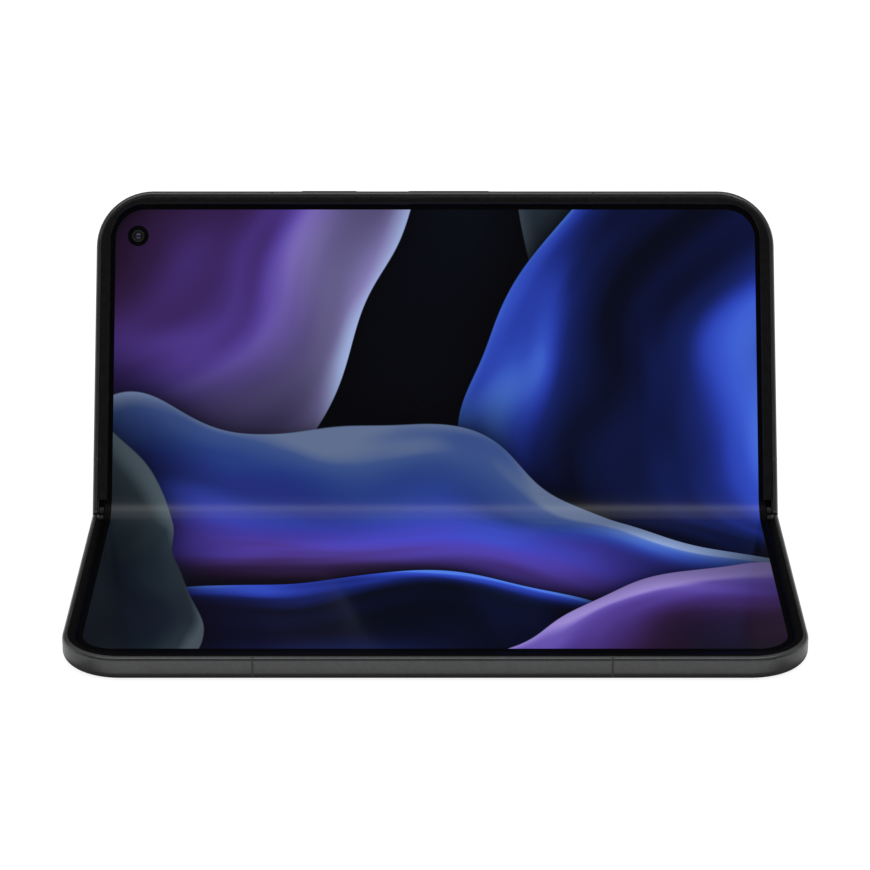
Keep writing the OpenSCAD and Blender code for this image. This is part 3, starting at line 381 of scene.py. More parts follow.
def foil(name, colour):
    """Battery pouch under black film, with soft wrinkles."""
    made = Finish(name, colour, 0.35)
    made.vary_colour(0.15, scale=120)
    made.vary_roughness(0.28, 0.45, scale=200)
    made.bump(made.noise(made.place, scale=160, detail=4.0), 0.2 * MM)
    return made.material


def laminate(name):
    """Green circuit board with copper tracks and pads."""
    made = Finish(name, srgb(24, 72, 46), 0.4)
    cells = made.node("TexVoronoi", {"Vector": made.place, "Scale": 700}, distance="MANHATTAN")
    tracks = made.span(cells.outputs["Distance"], 0.42, 0.46)
    made.set("Base Color", made.mix(tracks, made.colour, srgb(52, 110, 70)))
    made.vary_roughness(0.34, 0.46, scale=500)
    made.bump(tracks, 30 * MICRON)
    return made.material


def winding(name, centre, pitch):
    """Copper wire wound flat around a centre on the upper half: rings as wide as the wire, with painted shade
    between the wires and a painted highlight on their crowns.
    """
    made = Finish(name, srgb(186, 118, 74), 0.3, metallic=1.0)
    across = made.vector("SUBTRACT", made.place, centre)
    radius = made.length(made.dot(across, (1, 0, 0)), made.dot(across, tuple(UP_THE_BACK)))
    wire = made.ridges(radius, pitch)
    # Painted shade between the wires and painted highlight on their crowns
    made.set("Base Color", made.mix(wire, srgb(112, 62, 38), srgb(206, 138, 92)))
    made.vary_roughness(0.24, 0.36, scale=900)
    made.bump(wire, 0.1 * MM)
    return made.material


def mesh_cloth(name, colour, pitch):
    """Woven acoustic mesh, with painted shade in its holes."""
    made = Finish(name, colour, 0.6)
    weave = made.node("TexVoronoi", {"Vector": made.place, "Scale": 1 / pitch}, distance="CHEBYCHEV")
    hole = made.span(weave.outputs["Distance"], 0.25, 0.4)
    # The holes are painted near black as shade
    made.set("Base Color", made.mix(hole, (0.002, 0.002, 0.002), colour))
    made.set("Roughness", made.span(hole, 0, 1, 0.8, 0.5))
    made.bump(hole, 50 * MICRON)
    return made.material


def film(name):
    """Blackened polyimide film with fine conductor lines under it."""
    made = Finish(name, srgb(22, 19, 17), 0.35)
    pitch = 0.5 * MM
    x = made.node("SeparateXYZ", {0: made.place}).outputs["X"]
    lines = made.span(made.math("SINE", made.math("MULTIPLY", x, math.tau / pitch)), 0.1, 0.5)
    made.set("Base Color", made.mix(lines, srgb(16, 14, 13), srgb(34, 29, 24)))
    made.vary_roughness(0.28, 0.42, scale=800)
    made.bump(lines, 10 * MICRON)
    return made.material


def contact_tongue(name):
    """Black tongue of the charging port, with a row of gold contacts on each side."""
    made = Finish(name, srgb(18, 18, 20), 0.4)
    pitch, row_half, bare_tip, blur = 0.5 * MM, 2.9 * MM, 0.6 * MM, 0.05 * MM
    row_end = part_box("usb_c_tongue")[1].x - bare_tip
    across = made.dot(made.vector("SUBTRACT", made.place, middle("usb_c_tongue")), tuple(UP_THE_BACK))
    wave = made.math("COSINE", made.math("MULTIPLY", across, math.tau / pitch))
    in_row = made.span(made.math("ABSOLUTE", across), row_half, row_half + blur, 1.0, 0.0)
    x = made.node("SeparateXYZ", {0: made.place}).outputs["X"]
    behind_tip = made.span(x, row_end, row_end + blur, 1.0, 0.0)
    gold = made.product(made.span(wave, -0.1, 0.1), in_row, behind_tip)
    made.set("Base Color", made.mix(gold, made.colour, srgb(214, 172, 92)))
    made.set("Metallic", gold)
    made.vary_roughness(0.25, 0.4, scale=1500)
    made.bump(gold, 30 * MICRON)
    return made.material


def flash_lens(name, centre):
    """Clear warm plastic with fine rings that spread the flash's light."""
    scatter = (1.0 * MM, 0.8 * MM, 0.5 * MM)
    made = Finish(name, srgb(226, 214, 178), 0.25, Subsurface_Weight=0.2, Subsurface_Radius=scatter)
    far = made.distance(made.place, tuple(centre))
    ridge = made.ridges(far, 0.28 * MM)
    core = made.span(far, 0.5 * MM, 1.2 * MM, 1.0, 0.0, smooth=True)
    made.set("Base Color", made.mix(core, srgb(218, 212, 196), srgb(232, 190, 84)))
    made.set("Roughness", made.span(ridge, 0, 1, 0.3, 0.16))
    made.bump(ridge, 40 * MICRON)
    return made.material


# The wallpaper: folds of dark silk, each bounded by a large round arc. Places are in millimetres on the
# flattened display, x along the fold and y up from it, and scales in lumps per millimetre.

class Wallpaper:
    """A picture painted from the back to the front, sheet by sheet."""

    def __init__(self, tree, place):
        self.tree = tree
        self.place = place
        self.colour = None

    def drift(self, place, seed, scale, detail=1.0):
        """Soft noise of about -0.5 to 0.5, different for every seed."""
        moved = self.tree.vector("ADD", place, (37.0 * seed, 91.0 * seed, 0))
        return self.tree.math("SUBTRACT", self.tree.noise(moved, scale, detail), 0.5)

    def ground(self, dark, light):
        level = self.tree.span(self.drift(self.place, 9, 0.012), -0.05, 0.25, smooth=True)
        self.colour = self.tree.mix(level, dark, light)

    def sheet(self, centre, radius, depth, stops, seed, wave, dusk):
        """Lays a sheet over the picture. Its edge is an arc bent by a wave, and its colours run inwards over
        depth; dusk is how far the light on it dies away in places."""
        # How far its shadow reaches, how much its silk shifts the colours, and how long the silk's folds are
        shade, sheen, slant = 16.0, 0.5, 0.25
        shadow_colour, dusk_colour = (0.0006, 0.0006, 0.0012), (0.001, 0.0012, 0.0025)
        t = self.tree
        far = t.distance(self.place, (*centre, 0))
        bent = t.product(self.drift(self.place, seed, 0.014), wave)
        inside = t.math("ADD", t.math("SUBTRACT", radius, far), bent)
        sideways = Vector((-centre[1], centre[0], 0)).normalized() * slant
        turn = t.dot(self.place, tuple(sideways))
        along = t.node("CombineXYZ", {0: inside, 1: turn}).outputs[0]
        cover = t.span(inside, -0.1, 0.2, smooth=True)
        near = t.span(inside, -shade, 0.0, 0.0, 1.0)
        shadow = t.product(t.math("POWER", near, 2.0), 0.85)
        below = t.mix(shadow, self.colour, shadow_colour)
        silk = t.product(self.drift(along, seed + 3, 0.055, detail=2.0), sheen)
        lit = t.ramp(t.math("ADD", t.math("DIVIDE", inside, depth), silk), stops)
        fade = t.span(self.drift(along, seed + 6, 0.028), -0.04, 0.12, 0.0, dusk, smooth=True)
        self.colour = t.mix(cover, below, t.mix(fade, lit, dusk_colour))


def paint_wallpaper(tree, place):
    """Folds of dark silk with blue, violet and lavender light on them, of the builder's own design."""
    black, night, navy = srgb(3, 3, 6), srgb(8, 12, 24), srgb(16, 26, 70)
    royal, azure, pale = srgb(46, 70, 206), srgb(84, 132, 232), srgb(176, 200, 246)
    violet, lilac, plum = srgb(88, 66, 176), srgb(164, 146, 214), srgb(52, 26, 58)
    steel, teal, smoke = srgb(112, 130, 142), srgb(24, 40, 48), srgb(40, 46, 58)
    picture = Wallpaper(tree, place)
    picture.ground(black, night)
    picture.sheet((-150, 130), 160, 75,
        [(0.0, pale), (0.05, lilac), (0.3, violet), (0.5, plum), (0.75, black)], 1, wave=50, dusk=0.75)
    picture.sheet((150, 120), 135, 80,
        [(0.0, steel), (0.05, smoke), (0.2, teal), (0.35, black), (0.7, night)], 2, wave=50, dusk=0.8)
    picture.sheet((95, 15), 82, 80,
        [(0.0, azure), (0.04, royal), (0.12, navy), (0.28, black), (0.45, navy), (0.6, royal), (0.72, azure),
         (0.76, pale), (0.77, navy), (0.95, black)], 3, wave=56, dusk=0.6)
    picture.sheet((-45, -130), 150, 80,
        [(0.0, pale), (0.03, azure), (0.2, royal), (0.4, violet), (0.55, plum), (0.8, black)],
        4, wave=60, dusk=0.7)
    picture.sheet((-20, -150), 118, 60,
        [(0.0, azure), (0.02, royal), (0.1, night), (0.3, black), (0.6, navy)], 8, wave=70, dusk=0.8)
    picture.sheet((-190, -50), 140, 60,
        [(0.0, steel), (0.05, teal), (0.3, night), (0.6, black)], 5, wave=40, dusk=0.6)
    picture.sheet((120, -170), 150, 80,
        [(0.0, lilac), (0.04, violet), (0.2, plum), (0.4, black), (0.7, teal)], 6, wave=50, dusk=0.7)
    return picture.colour


def display_material(name):
    """A lit display under film: its picture glows, with a black mask around it and the camera."""
    made = Finish(name, srgb(7, 7, 9), FLAT_ROUGH)
    place = made.node("Attribute", attribute_name="screen").outputs["Vector"]
    split = made.node("SeparateXYZ", {0: place})
    x, y = split.outputs["X"], split.outputs["Y"]
    crease = made.span(made.math("ABSOLUTE", y), CREASE_MID / MM, CREASE_S / MM, 1.0, 0.0, smooth=True)
    smear = made.span(made.noise(made.place, scale=60, detail=3.0), 0.3, 0.7, 0.0, 0.03)
    made.set("Roughness", made.math("ADD", made.span(crease, 0, 1, FLAT_ROUGH, FOLD_ROUGH), smear))
    corner = PICTURE_CORNER_R / MM
    half_x = (END_X - PICTURE_INSET) / MM - corner
    half_y = (SCREEN_END - FRONT_MASK / 2) / MM - corner
    off_centre = made.math("ABSOLUTE", made.math("SUBTRACT", y, FRONT_MASK / 2 / MM))
    side = made.math("MAXIMUM", made.math("SUBTRACT", made.math("ABSOLUTE", x), half_x), 0.0)
    top = made.math("MAXIMUM", made.math("SUBTRACT", off_centre, half_y), 0.0)
    spread = made.length(side, top)
    in_picture = made.span(spread, corner - PICTURE_BLUR, corner + PICTURE_BLUR, 1.0, 0.0)
    far = made.distance(place, (CAMERA_X / MM, CAMERA_S / MM, 0))
    off_camera = made.span(far, CAMERA_MASK_R / MM - PICTURE_BLUR, CAMERA_MASK_R / MM + PICTURE_BLUR)
    reflect = made.span(crease, 0, 1, FLAT_REFLECT, FOLD_REFLECT)
    by_mask = made.span(spread, corner, corner + 0.1, 1.0, MASK_REFLECT)
    made.set("Specular IOR Level", made.product(reflect, by_mask))
    picture = paint_wallpaper(made, place)
    made.set("Emission Color", made.mix(made.product(in_picture, off_camera), grey(0), picture))
    made.set("Emission Strength", 1.0)
    made.bump(made.noise(made.place, scale=40, detail=1.0), 10 * MICRON)
    return made.material


# Meshes

def mesh_piece(name, points, faces, material, smooth=True):
    """A piece from points in metres and faces, shaded smooth up to sharp edges."""
    mesh = bpy.data.meshes.new(name)
    mesh.from_pydata([tuple(p) for p in points], [], faces)
    mesh.validate()
    work = bmesh.new()
    work.from_mesh(mesh)
    bmesh.ops.recalc_face_normals(work, faces=work.faces)
    work.to_mesh(mesh)
    work.free()
    piece = bpy.data.objects.new(name, mesh)
    bpy.context.scene.collection.objects.link(piece)
    mesh.materials.append(material)
    if smooth:
        mesh.shade_smooth()
        mesh.set_sharp_from_angle(angle=SHARP)
    return piece


def lofted(name, rings, material, closed=False):
    """Joins rings of equal length into a skin, with a cap on both ends, or from the last ring back to the
    first if closed. Each ring is a closed loop of points."""
    count = len(rings[0])
    points = [p for ring in rings for p in ring]
    faces = []
    for r in range(len(rings) - (0 if closed else 1)):
        after = (r + 1) % len(rings)
        for i in range(count):
            j = (i + 1) % count
            faces.append((r * count + i, r * count + j, after * count + j, after * count + i))
    if not closed:
        faces.append(tuple(range(count)))
        faces.append(tuple((len(rings) - 1) * count + i for i in range(count)))
    return mesh_piece(name, points, faces, material)


def half_outline(inset, radius, start_u):
    """Open outline of one half seen from above, from its left end at the fold round to its right end."""
    steps = 20
    x, u = END_X - inset, HALF_W - inset
    left = [(-x, start_u)]
    for i in range(steps + 1):
        turn = math.pi - math.pi / 2 * i / steps
        left.append((-x + radius + radius * math.cos(turn), u - radius + radius * math.sin(turn)))
    return left + [(-px, pu) for px, pu in reversed(left)]


def swept_bezel(name, half_point, material):
    """The raised rim round the display: rounded outside, with a slope down to the display inside. A place of
    its section is an inset from the outline, a height, and the radius of the corner there."""
    lip = DISPLAY_TOP + 0.03 * MM
    fillet, slope, play = 0.12 * MM, 0.3 * MM, 0.05 * MM
    brow, brow_drop, foot, foot_rise = 0.1 * MM, 0.03 * MM, 0.04 * MM, 0.06 * MM
    bevel, outer_r, inner = 0.3 * fillet, CORNER_R - RIM_TOP, BEZEL_IN - slope
    section = [
        (RIM_TOP, DISPLAY_LOW, outer_r),
        (RIM_TOP, HALF_T - fillet, outer_r),
        (RIM_TOP + bevel, HALF_T - bevel, outer_r - bevel),
        (RIM_TOP + fillet, HALF_T, outer_r - fillet),
        (inner - brow, HALF_T, BEZEL_CORNER_R + slope + brow),
        (inner, HALF_T - brow_drop, BEZEL_CORNER_R + slope),
        (BEZEL_IN - foot, lip + foot_rise, BEZEL_CORNER_R + foot),
        (BEZEL_IN, lip, BEZEL_CORNER_R),
        (DISPLAY_INSET - play, lip, DISPLAY_CORNER_R),
        (DISPLAY_INSET - play, DISPLAY_LOW, DISPLAY_CORNER_R),
    ]
    outlines = [half_outline(inset, radius, BEZEL_U) for inset, _, radius in section]
    rings = []
    for i in range(len(outlines[0])):
        rings.append([half_point(*line[i], w) for line, (_, w, _) in zip(outlines, section)])
    return lofted(name, rings, material)


def cut(piece, cutter):
    """Takes the cutter's shape out of a piece."""
    change = piece.modifiers.new("cut", "BOOLEAN")
    change.operation = "DIFFERENCE"
    change.solver = "EXACT"
    change.object = cutter
    seen = bpy.context.evaluated_depsgraph_get()
    piece.data = bpy.data.meshes.new_from_object(piece.evaluated_get(seen))
    piece.modifiers.clear()
    bpy.data.objects.remove(cutter)
    piece.data.shade_smooth()
    piece.data.set_sharp_from_angle(angle=SHARP)


def turned_piece(name, centre, axis, profile, material, steps=48, closed=False):
    """A turned piece: profile is (radius, height) along the axis from centre."""
    other = axis.cross(Vector((1, 0, 0)))
    rings = []
    for radius, height in profile:
        ring = []
        for i in range(steps):
            turn = math.tau * i / steps
            out = Vector((1, 0, 0)) * math.cos(turn) + other * math.sin(turn)
            ring.append(centre + out * radius + axis * height)
        rings.append(ring)
    return lofted(name, rings, material, closed=closed)


def dome(radius, low, high):
    """Profile of a spherical cap, from its rim nearly to its top."""
    steps = 8
    turns = [math.pi / 2 * i / steps for i in range(steps)] + [math.radians(89)]
    return [(radius * math.cos(turn), low + (high - low) * math.sin(turn)) for turn in turns]


def chamfered_block(name, half_point, x, u, side, low, high, material):
    """A square block with small chamfers, centred at x and u."""
    edge = 0.15 * MM
    rings = []
    for inset, w in ((edge, low), (0, low + edge), (0, high - edge), (edge, high)):
        h = side / 2 - inset
        rings.append([half_point(x + a * h, u + b * h, w) for a, b in ((-1, -1), (1, -1), (1, 1), (-1, 1))])
    return lofted(name, rings, material)


def set_screen(piece, spots):
    """Writes each point's place on the flattened display, in millimetres, for the picture."""
    place = piece.data.attributes.new("screen", "FLOAT_VECTOR", "POINT")
    for item, (x, s) in zip(place.data, spots):
        item.vector = (x / MM, s / MM, 0)


def back_in_black(piece, face_way, material):
    """Gives every face that doesn't look out of the display a second, unlit material."""
    piece.data.materials.append(material)
    for face in piece.data.polygons:
        if face.normal.dot(face_way) < 0.5:
            face.material_index = 1


def flat_display(name, half_point, material):
    """The flat stretch of the display on one half."""
    edge = 0.06 * MM
    rings = []
    for inset, w in ((edge, DISPLAY_LOW), (0, DISPLAY_LOW + edge), (0, DISPLAY_TOP - edge),
            (edge, DISPLAY_TOP)):
        line = half_outline(DISPLAY_INSET + inset, DISPLAY_CORNER_R - inset, FOLD_U)
        rings.append([half_point(x, u, w) for x, u in line])
    return lofted(name, rings, material)


# The display's bend: an arc that touches both flat stretches

BEND_CORNER_U = AXIS_U + ((DISPLAY_TOP - AXIS_W) * math.sin(OPENING / 2) - AXIS_U) / math.cos(OPENING / 2)
TANGENT_U = BEND_CORNER_U + FOLD_R * math.tan(OPENING / 2)
ARC_HALF = FOLD_R * OPENING / 2


def screen_s(u):
    """Distance from the middle of the fold along the display, for a point at u on a flat stretch."""
    return ARC_HALF + u - TANGENT_U


# The inner camera's place and the black ring round it, and where the lit picture ends
CAMERA_X = middle("inner_camera").x
CAMERA_U = HALF_W - 10.5 * MM
CAMERA_S = screen_s(CAMERA_U)
CAMERA_MASK_R = 2.4 * MM
SCREEN_END = screen_s(HALF_W - PICTURE_INSET)

# Shine of the display: on its flats, and in the crease, which fades from CREASE_MID to CREASE_S on each
# side of the middle. The mask has MASK_REFLECT of that shine.
CREASE_MID, CREASE_S = 0.5 * MM, 6 * MM
FLAT_REFLECT, FOLD_REFLECT, MASK_REFLECT = 0.04, 0.4, 0.1
FLAT_ROUGH, FOLD_ROUGH = 0.12, 0.34

# Half of the blur on the edge of the lit picture, in millimetres as the picture's places are
PICTURE_BLUR = 0.04


def bend_point(x, s, depth):
    """A point of the display at s along it from the middle of the fold, and depth under its face."""
    centre = lower_point(x, BEND_CORNER_U, DISPLAY_TOP) + MIDDLE_WAY * (FOLD_R / math.cos(OPENING / 2))
    turn = max(-OPENING / 2, min(OPENING / 2, s / FOLD_R))
    tilt = Matrix.Rotation(turn, 3, "X")
    return centre - tilt @ MIDDLE_WAY * (FOLD_R + depth) + tilt @ MIDDLE_ALONG * (s - turn * FOLD_R)


def bending_display(name, side, material):
    """Half of the stretch that bends, from the middle of the fold to the flat stretch."""
    far = screen_s(FOLD_U) - SEAM
    steps = 28
    thick = DISPLAY_TOP - DISPLAY_LOW
    corners = [(-DISPLAY_X, 0), (DISPLAY_X, 0), (DISPLAY_X, thick), (-DISPLAY_X, thick)]
    spots = []
    rings = []
    for i in range(steps + 1):
        s = side * far * i / steps
        rings.append([bend_point(x, s, depth) for x, depth in corners])
        spots += [(x, s) for x, _ in corners]
    piece = lofted(name, rings, material)
    set_screen(piece, spots)
    return piece


def smoothed(line):
    """Cuts the corners off a line of points, twice over."""
    for _ in range(2):
        cut_line = [line[0]]
        for a, b in zip(line, line[1:]):
            cut_line += [a.lerp(b, 0.25), a.lerp(b, 0.75)]
        line = cut_line + [line[-1]]
    return line


# Flat cables: their place, width and thickness, their way in a half as distances from the fold at one
# height, and their way in the spine as distances from its middle with heights
FLEX_X, FLEX_W, FLEX_T = 25 * MM, 9 * MM, 0.16 * MM
FLEX_IN_U, FLEX_IN_W = (11 * MM, 8 * MM, 5.2 * MM), 3.4 * MM
FLEX_LOOP = [(3.2 * MM, 3.3 * MM), (2.2 * MM, 2.9 * MM), (1.15 * MM, 2.35 * MM), (0, 2.1 * MM)]


def flex_half(name, x, side, material):
    """Half of a flat cable, from one half of the phone to the middle of the spine. side is 1 for the upper
    half and -1 for the lower one."""
    half_point = upper_point if side > 0 else lower_point
    line = [half_point(0, u, FLEX_IN_W) for u in FLEX_IN_U]
    line = smoothed(line + [spine_point(0, side * y, z) for y, z in FLEX_LOOP])
    rings = []
    for i, spot in enumerate(line):
        along = (line[min(i + 1, len(line) - 1)] - line[max(i - 1, 0)]).normalized()
        if i == len(line) - 1:
            along = MIDDLE_ALONG * -side
        out = along.cross(Vector((1, 0, 0))) * FLEX_T / 2
        wide = Vector((FLEX_W / 2, 0, 0))
        spot = spot + Vector((x, 0, 0))
        rings.append([spot - wide - out, spot + wide - out, spot + wide + out, spot - wide + out])
    return lofted(name, rings, material), line[0], line[-1]


# Studio and camera. The camera was fitted to the edges in the photo, with its lens in millimetres.

CAMERA_PLACE = Vector((0, -0.61853, 0.28713))
CAMERA_DOWN = math.radians(21.846)
CAMERA_LENS = 130.52
CAMERA_SHIFT = (-0.0003, 0.0002)


def make_camera():
    data = bpy.data.cameras.new("camera")
    data.lens = CAMERA_LENS
    data.shift_x, data.shift_y = CAMERA_SHIFT
    data.sensor_width = 36
    data.clip_start = 0.01
    data.clip_end = 20
    camera = bpy.data.objects.new("camera", data)
    camera.location = CAMERA_PLACE
    camera.rotation_euler = (math.pi / 2 - CAMERA_DOWN, 0, 0)
    bpy.context.scene.collection.objects.link(camera)
    bpy.context.scene.camera = camera


def softbox(name, place, aim, size, watts):
    data = bpy.data.lights.new(name, "AREA")
    data.shape = "RECTANGLE"
    data.size, data.size_y = size
    data.energy = watts
    lamp = bpy.data.objects.new(name, data)
    lamp.location = place
    lamp.rotation_euler = (Vector(aim) - Vector(place)).to_track_quat("-Z", "Y").to_euler()
    bpy.context.scene.collection.objects.link(lamp)


# Light round the studio: turns from the front horizon over the top to the back one, as shares of half a
# circle, and how bright it is there
SKY = [(0.0, 1.0), (0.06, 0.7), (0.14, 0.2), (0.22, 0.15), (0.33, 0.18), (0.4, 0.3), (0.47, 0.45),
    (0.6, 0.45), (0.74, 0.75), (0.82, 0.25), (0.88, 0.02), (0.95, 0.15), (1.0, 1.0)]

# Low at the sides it has other levels, in front and behind. They fade in between two values of a
# direction's z, x and y, where x is to the right, y to the back, and each goes from -1 to 1.
SIDE_Z, SIDE_X, BEHIND_Y = (0.1, 0.5), (0.6, 0.95), (-0.05, 0.35)
SIDE_LEVEL, BEHIND_LEVEL = 0.5, 1.2
MATT_GAIN = 0.8


def make_sky():
    """White all round for the camera. Surfaces see the studio's light, which is dark above the camera, and
    matt ones get more of it."""
    world = bpy.data.worlds.new("studio")
    bpy.context.scene.world = world
    world.use_nodes = True
    sky = Tree(world.node_tree)
    path = sky.node("LightPath")
    way = sky.node("SeparateXYZ", {0: sky.node("TexCoord").outputs["Generated"]})
    x, y, z = (way.outputs[axis] for axis in "XYZ")
    turn = sky.math("DIVIDE", sky.math("ARCTAN2", z, sky.math("MULTIPLY", y, -1.0)), math.pi, clamp=True)
    arch = sky.ramp(turn, [(place, grey(level)) for place, level in SKY])
    low = sky.rest(sky.span(z, *SIDE_Z, smooth=True))
    side = sky.product(low, sky.span(sky.math("ABSOLUTE", x), *SIDE_X, smooth=True))
    behind = sky.span(y, *BEHIND_Y, smooth=True)
    room = sky.mix(side, arch, sky.mix(behind, grey(SIDE_LEVEL), grey(BEHIND_LEVEL)))
    seen = sky.mix(path.outputs["Is Camera Ray"], room, grey(1))
    strength = sky.math("ADD", 1.0, sky.product(path.outputs["Is Diffuse Ray"], MATT_GAIN))
    light = sky.node("Background", {"Color": seen, "Strength": strength})
    out = sky.node("OutputWorld")
    sky.put(out.inputs["Surface"], light.outputs[0])


# The floor: its tone for light that spreads and for the camera, with a glow that makes it white and leaves
# a faint shadow. Shiny surfaces see it dim in two places, as in the photo: wide aside and in front of the
# phone, and in a strip close to its front edge. Each fades in between two distances.
# Both dim places are painted: a painted contact shadow in the strip, and painted shade aside and in front of
# the phone.
PAPER_TONE, PAPER_SEEN_TONE, PAPER_PAINTED_SHADE_TONE = 0.95, 0.25, 0.3
PAPER_GLOW, PAPER_MIRRORED_GLOW = 0.88, 0.05
ASIDE_X, BEFORE_Y = (0.08, 0.16), (-0.1, -0.05)
STRIP_Y, STRIP_X = (-5 * MM, -1 * MM), (0.2 * MM, 1.5 * MM)
PAPER_REACH = 3.0


def make_floor():
    """A white floor that keeps a faint shadow where the phone stands."""
    material = bpy.data.materials.new("paper")
    material.use_nodes = True
    paper = Tree(material.node_tree)
    path = paper.node("LightPath")
    camera = path.outputs["Is Camera Ray"]
    shine = paper.math("MAXIMUM", path.outputs["Is Glossy Ray"], path.outputs["Is Transmission Ray"])
    strength = paper.math("ADD", paper.product(camera, PAPER_GLOW), paper.product(shine, PAPER_MIRRORED_GLOW))
    glow = paper.node("Emission", {"Color": (1, 1, 1, 1), "Strength": strength})
    spot = paper.node("SeparateXYZ", {"Vector": paper.node("NewGeometry").outputs["Position"]})
    off_middle, y = paper.math("ABSOLUTE", spot.outputs["X"]), spot.outputs["Y"]
    aside = paper.span(off_middle, *ASIDE_X, smooth=True)
    before = paper.rest(paper.span(y, *BEFORE_Y, smooth=True))
    front_y = lower_point(0, HALF_W, 0).y
    near_front = paper.span(y, *(front_y + offset for offset in STRIP_Y), smooth=True)
    beyond_ends = paper.span(off_middle, *(END_X + offset for offset in STRIP_X), smooth=True)
    # Painted contact shadow close to the front edge, and painted shade aside and in front, seen only by shiny
    # surfaces
    strip = paper.product(near_front, paper.rest(beyond_ends))
    dim = paper.product(shine, paper.math("MAXIMUM", strip, paper.product(aside, before)))
    tone = paper.mix(camera, grey(PAPER_TONE), grey(PAPER_SEEN_TONE))
    matt = paper.node("BsdfDiffuse", {"Color": paper.mix(dim, tone, grey(PAPER_PAINTED_SHADE_TONE))})
    both = paper.node("AddShader", {0: matt.outputs[0], 1: glow.outputs[0]})
    out = paper.node("OutputMaterial")
    paper.put(out.inputs["Surface"], both.outputs[0])
    corners = [(x * PAPER_REACH, y * PAPER_REACH, 0) for x, y in ((-1, -1), (1, -1), (1, 1), (-1, 1))]
    mesh_piece("floor", corners, [(0, 1, 2, 3)], material, smooth=False)


def make_studio():
    make_sky()
    make_floor()
    softbox("overhead", place=(0, -0.16, 1.2), aim=(0, 0.04, 0), size=(1.6, 0.36), watts=3.6)


def dress(material, *names):
    """Gives CAD nodes a material in place of the plain one of the frame."""
    for name in names:
        for slot in nodes[name].material_slots:
            slot.material = material


def add(piece, body, slot, *replaced):
    """Hangs a piece on a body and hides the CAD nodes that it stands for. Its slot is not used."""
    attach(piece, body)
    if replaced:
        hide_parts(*replaced)


ALUMINIUM = (0.092, 0.093, 0.095)

# How strongly each half's bezel reflects: in the photo the lower one stays black
BEZEL_GLOSS = {"lower": 0.02, "upper": 0.3}


def make_shell():
    frame_metal = metal("anodised_frame", ALUMINIUM, 0.32)
    dress(frame_metal, "lower_frame", "upper_frame", "sim_tray", "power_button", "volume_rocker")
    dress(metal("anodised_island", ALUMINIUM, 0.28), "camera_island")
    dress(spine_shell("anodised_spine", (0.075, 0.076, 0.079), 0.3), "spine_cover")
    coat = plastic("end_cap_coat", srgb(24, 24, 26), 0.5, Specular_IOR_Level=0.3)
    dress(coat, "end_cap_left", "end_cap_right")
    fill = plastic("antenna_fill", srgb(54, 54, 56), 0.5, Specular_IOR_Level=0.3)
    dress(fill, "lower_antenna_bands", "upper_antenna_bands")
    for body, half_point in (("lower", lower_point), ("upper", upper_point)):
        black = plastic(body + "_bezel_black", srgb(4, 4, 5), 0.3, Specular_IOR_Level=BEZEL_GLOSS[body])
        rim = swept_bezel(body + "_bezel_rim", half_point, black)
        add(rim, body, "bezel_plastic", body + "_bezel")
    dress(etched_glass("back_matt", srgb(46, 47, 50)), "back_glass")
    dress(mesh_cloth("earpiece_weave", srgb(40, 41, 44), pitch=0.2 * MM), "earpiece_mesh")


def make_cover_glass():
    """The outer glass of the lower half, black while its display is off. Rings of colour in it stand for the
    cover camera's lens and its window; the purple and blue in the lens's middle are a painted reflection of
    its coating."""
    made = printed_glass("cover_gloss", srgb(9, 9, 11))
    window_r = 4 * MM
    x, y, _ = middle("cover_camera")
    far = made.distance(made.vector("MULTIPLY", made.place, (1, 1, 0)), (x, y, 0))
    # The first two stops, purple and blue, are a painted reflection on the lens
    stops = [(0.0, srgb(28, 20, 52)), (0.3, srgb(10, 14, 40)), (0.42, srgb(4, 5, 8)), (0.5, srgb(30, 31, 34)),
        (0.56, srgb(3, 3, 4)), (0.9, srgb(3, 3, 4)), (1.0, srgb(9, 9, 11))]
    made.set("Base Color", made.ramp(made.math("DIVIDE", far, window_r), stops))
    dress(made.material, "cover_glass")


# Painted reflection of the coating on a lens, from its middle to its rim: purple, blue and teal, then dark
LENS_COAT_PAINTED_GLINT = [(0.0, srgb(40, 16, 66)), (0.3, srgb(18, 14, 58)), (0.6, srgb(8, 26, 48)), (0.85, srgb(3, 6, 10)),
    (1.0, srgb(2, 2, 3))]


def make_inner_camera():
    """The camera in the display's corner: a module with a recessed lens. Gives back what bores the hole for
    it in the display."""
    hole_r, rim_r, seat_r, lens_r, module = 1.65 * MM, 1.12 * MM, 0.78 * MM, 0.76 * MM, 5.2 * MM
    tip, recess, edge = DISPLAY_TOP - 0.05 * MM, 0.35 * MM, 0.08 * MM
    centre = upper_point(CAMERA_X, CAMERA_U, 0)
    through = [(hole_r, 3.9 * MM), (hole_r, 5.2 * MM)]
    bore = turned_piece("bore", centre, -REARWARD, through, None)
    black = baffle("inner_camera_black", centre - REARWARD * 4.3 * MM, pitch=0.12 * MM)
    block = chamfered_block("inner_camera_base", upper_point, CAMERA_X, CAMERA_U, module,
        LEDGE_TOP + 0.2 * MM, WEB_LOW, black)
    wall = [(INNER_BARREL_R, LEDGE_TOP + 0.7 * MM), (INNER_BARREL_R, tip - edge),
        (INNER_BARREL_R - edge, tip), (rim_r, tip), (seat_r, tip - recess), (NEAR_AXIS, tip - recess)]
    barrel = turned_piece("inner_camera_barrel", centre, -REARWARD, wall, black)
    glass = coated_lens("inner_camera_coating", centre - REARWARD * (tip - 0.1 * MM), 0.8 * MM, LENS_COAT_PAINTED_GLINT)
    cap = dome(lens_r, tip - 0.36 * MM, tip - 0.08 * MM)
    lens = turned_piece("inner_camera_lens", centre, -REARWARD, cap, glass, steps=32)
    for piece in (block, barrel, lens):
        add(piece, "upper", "camera_body", "inner_camera")
    return bore


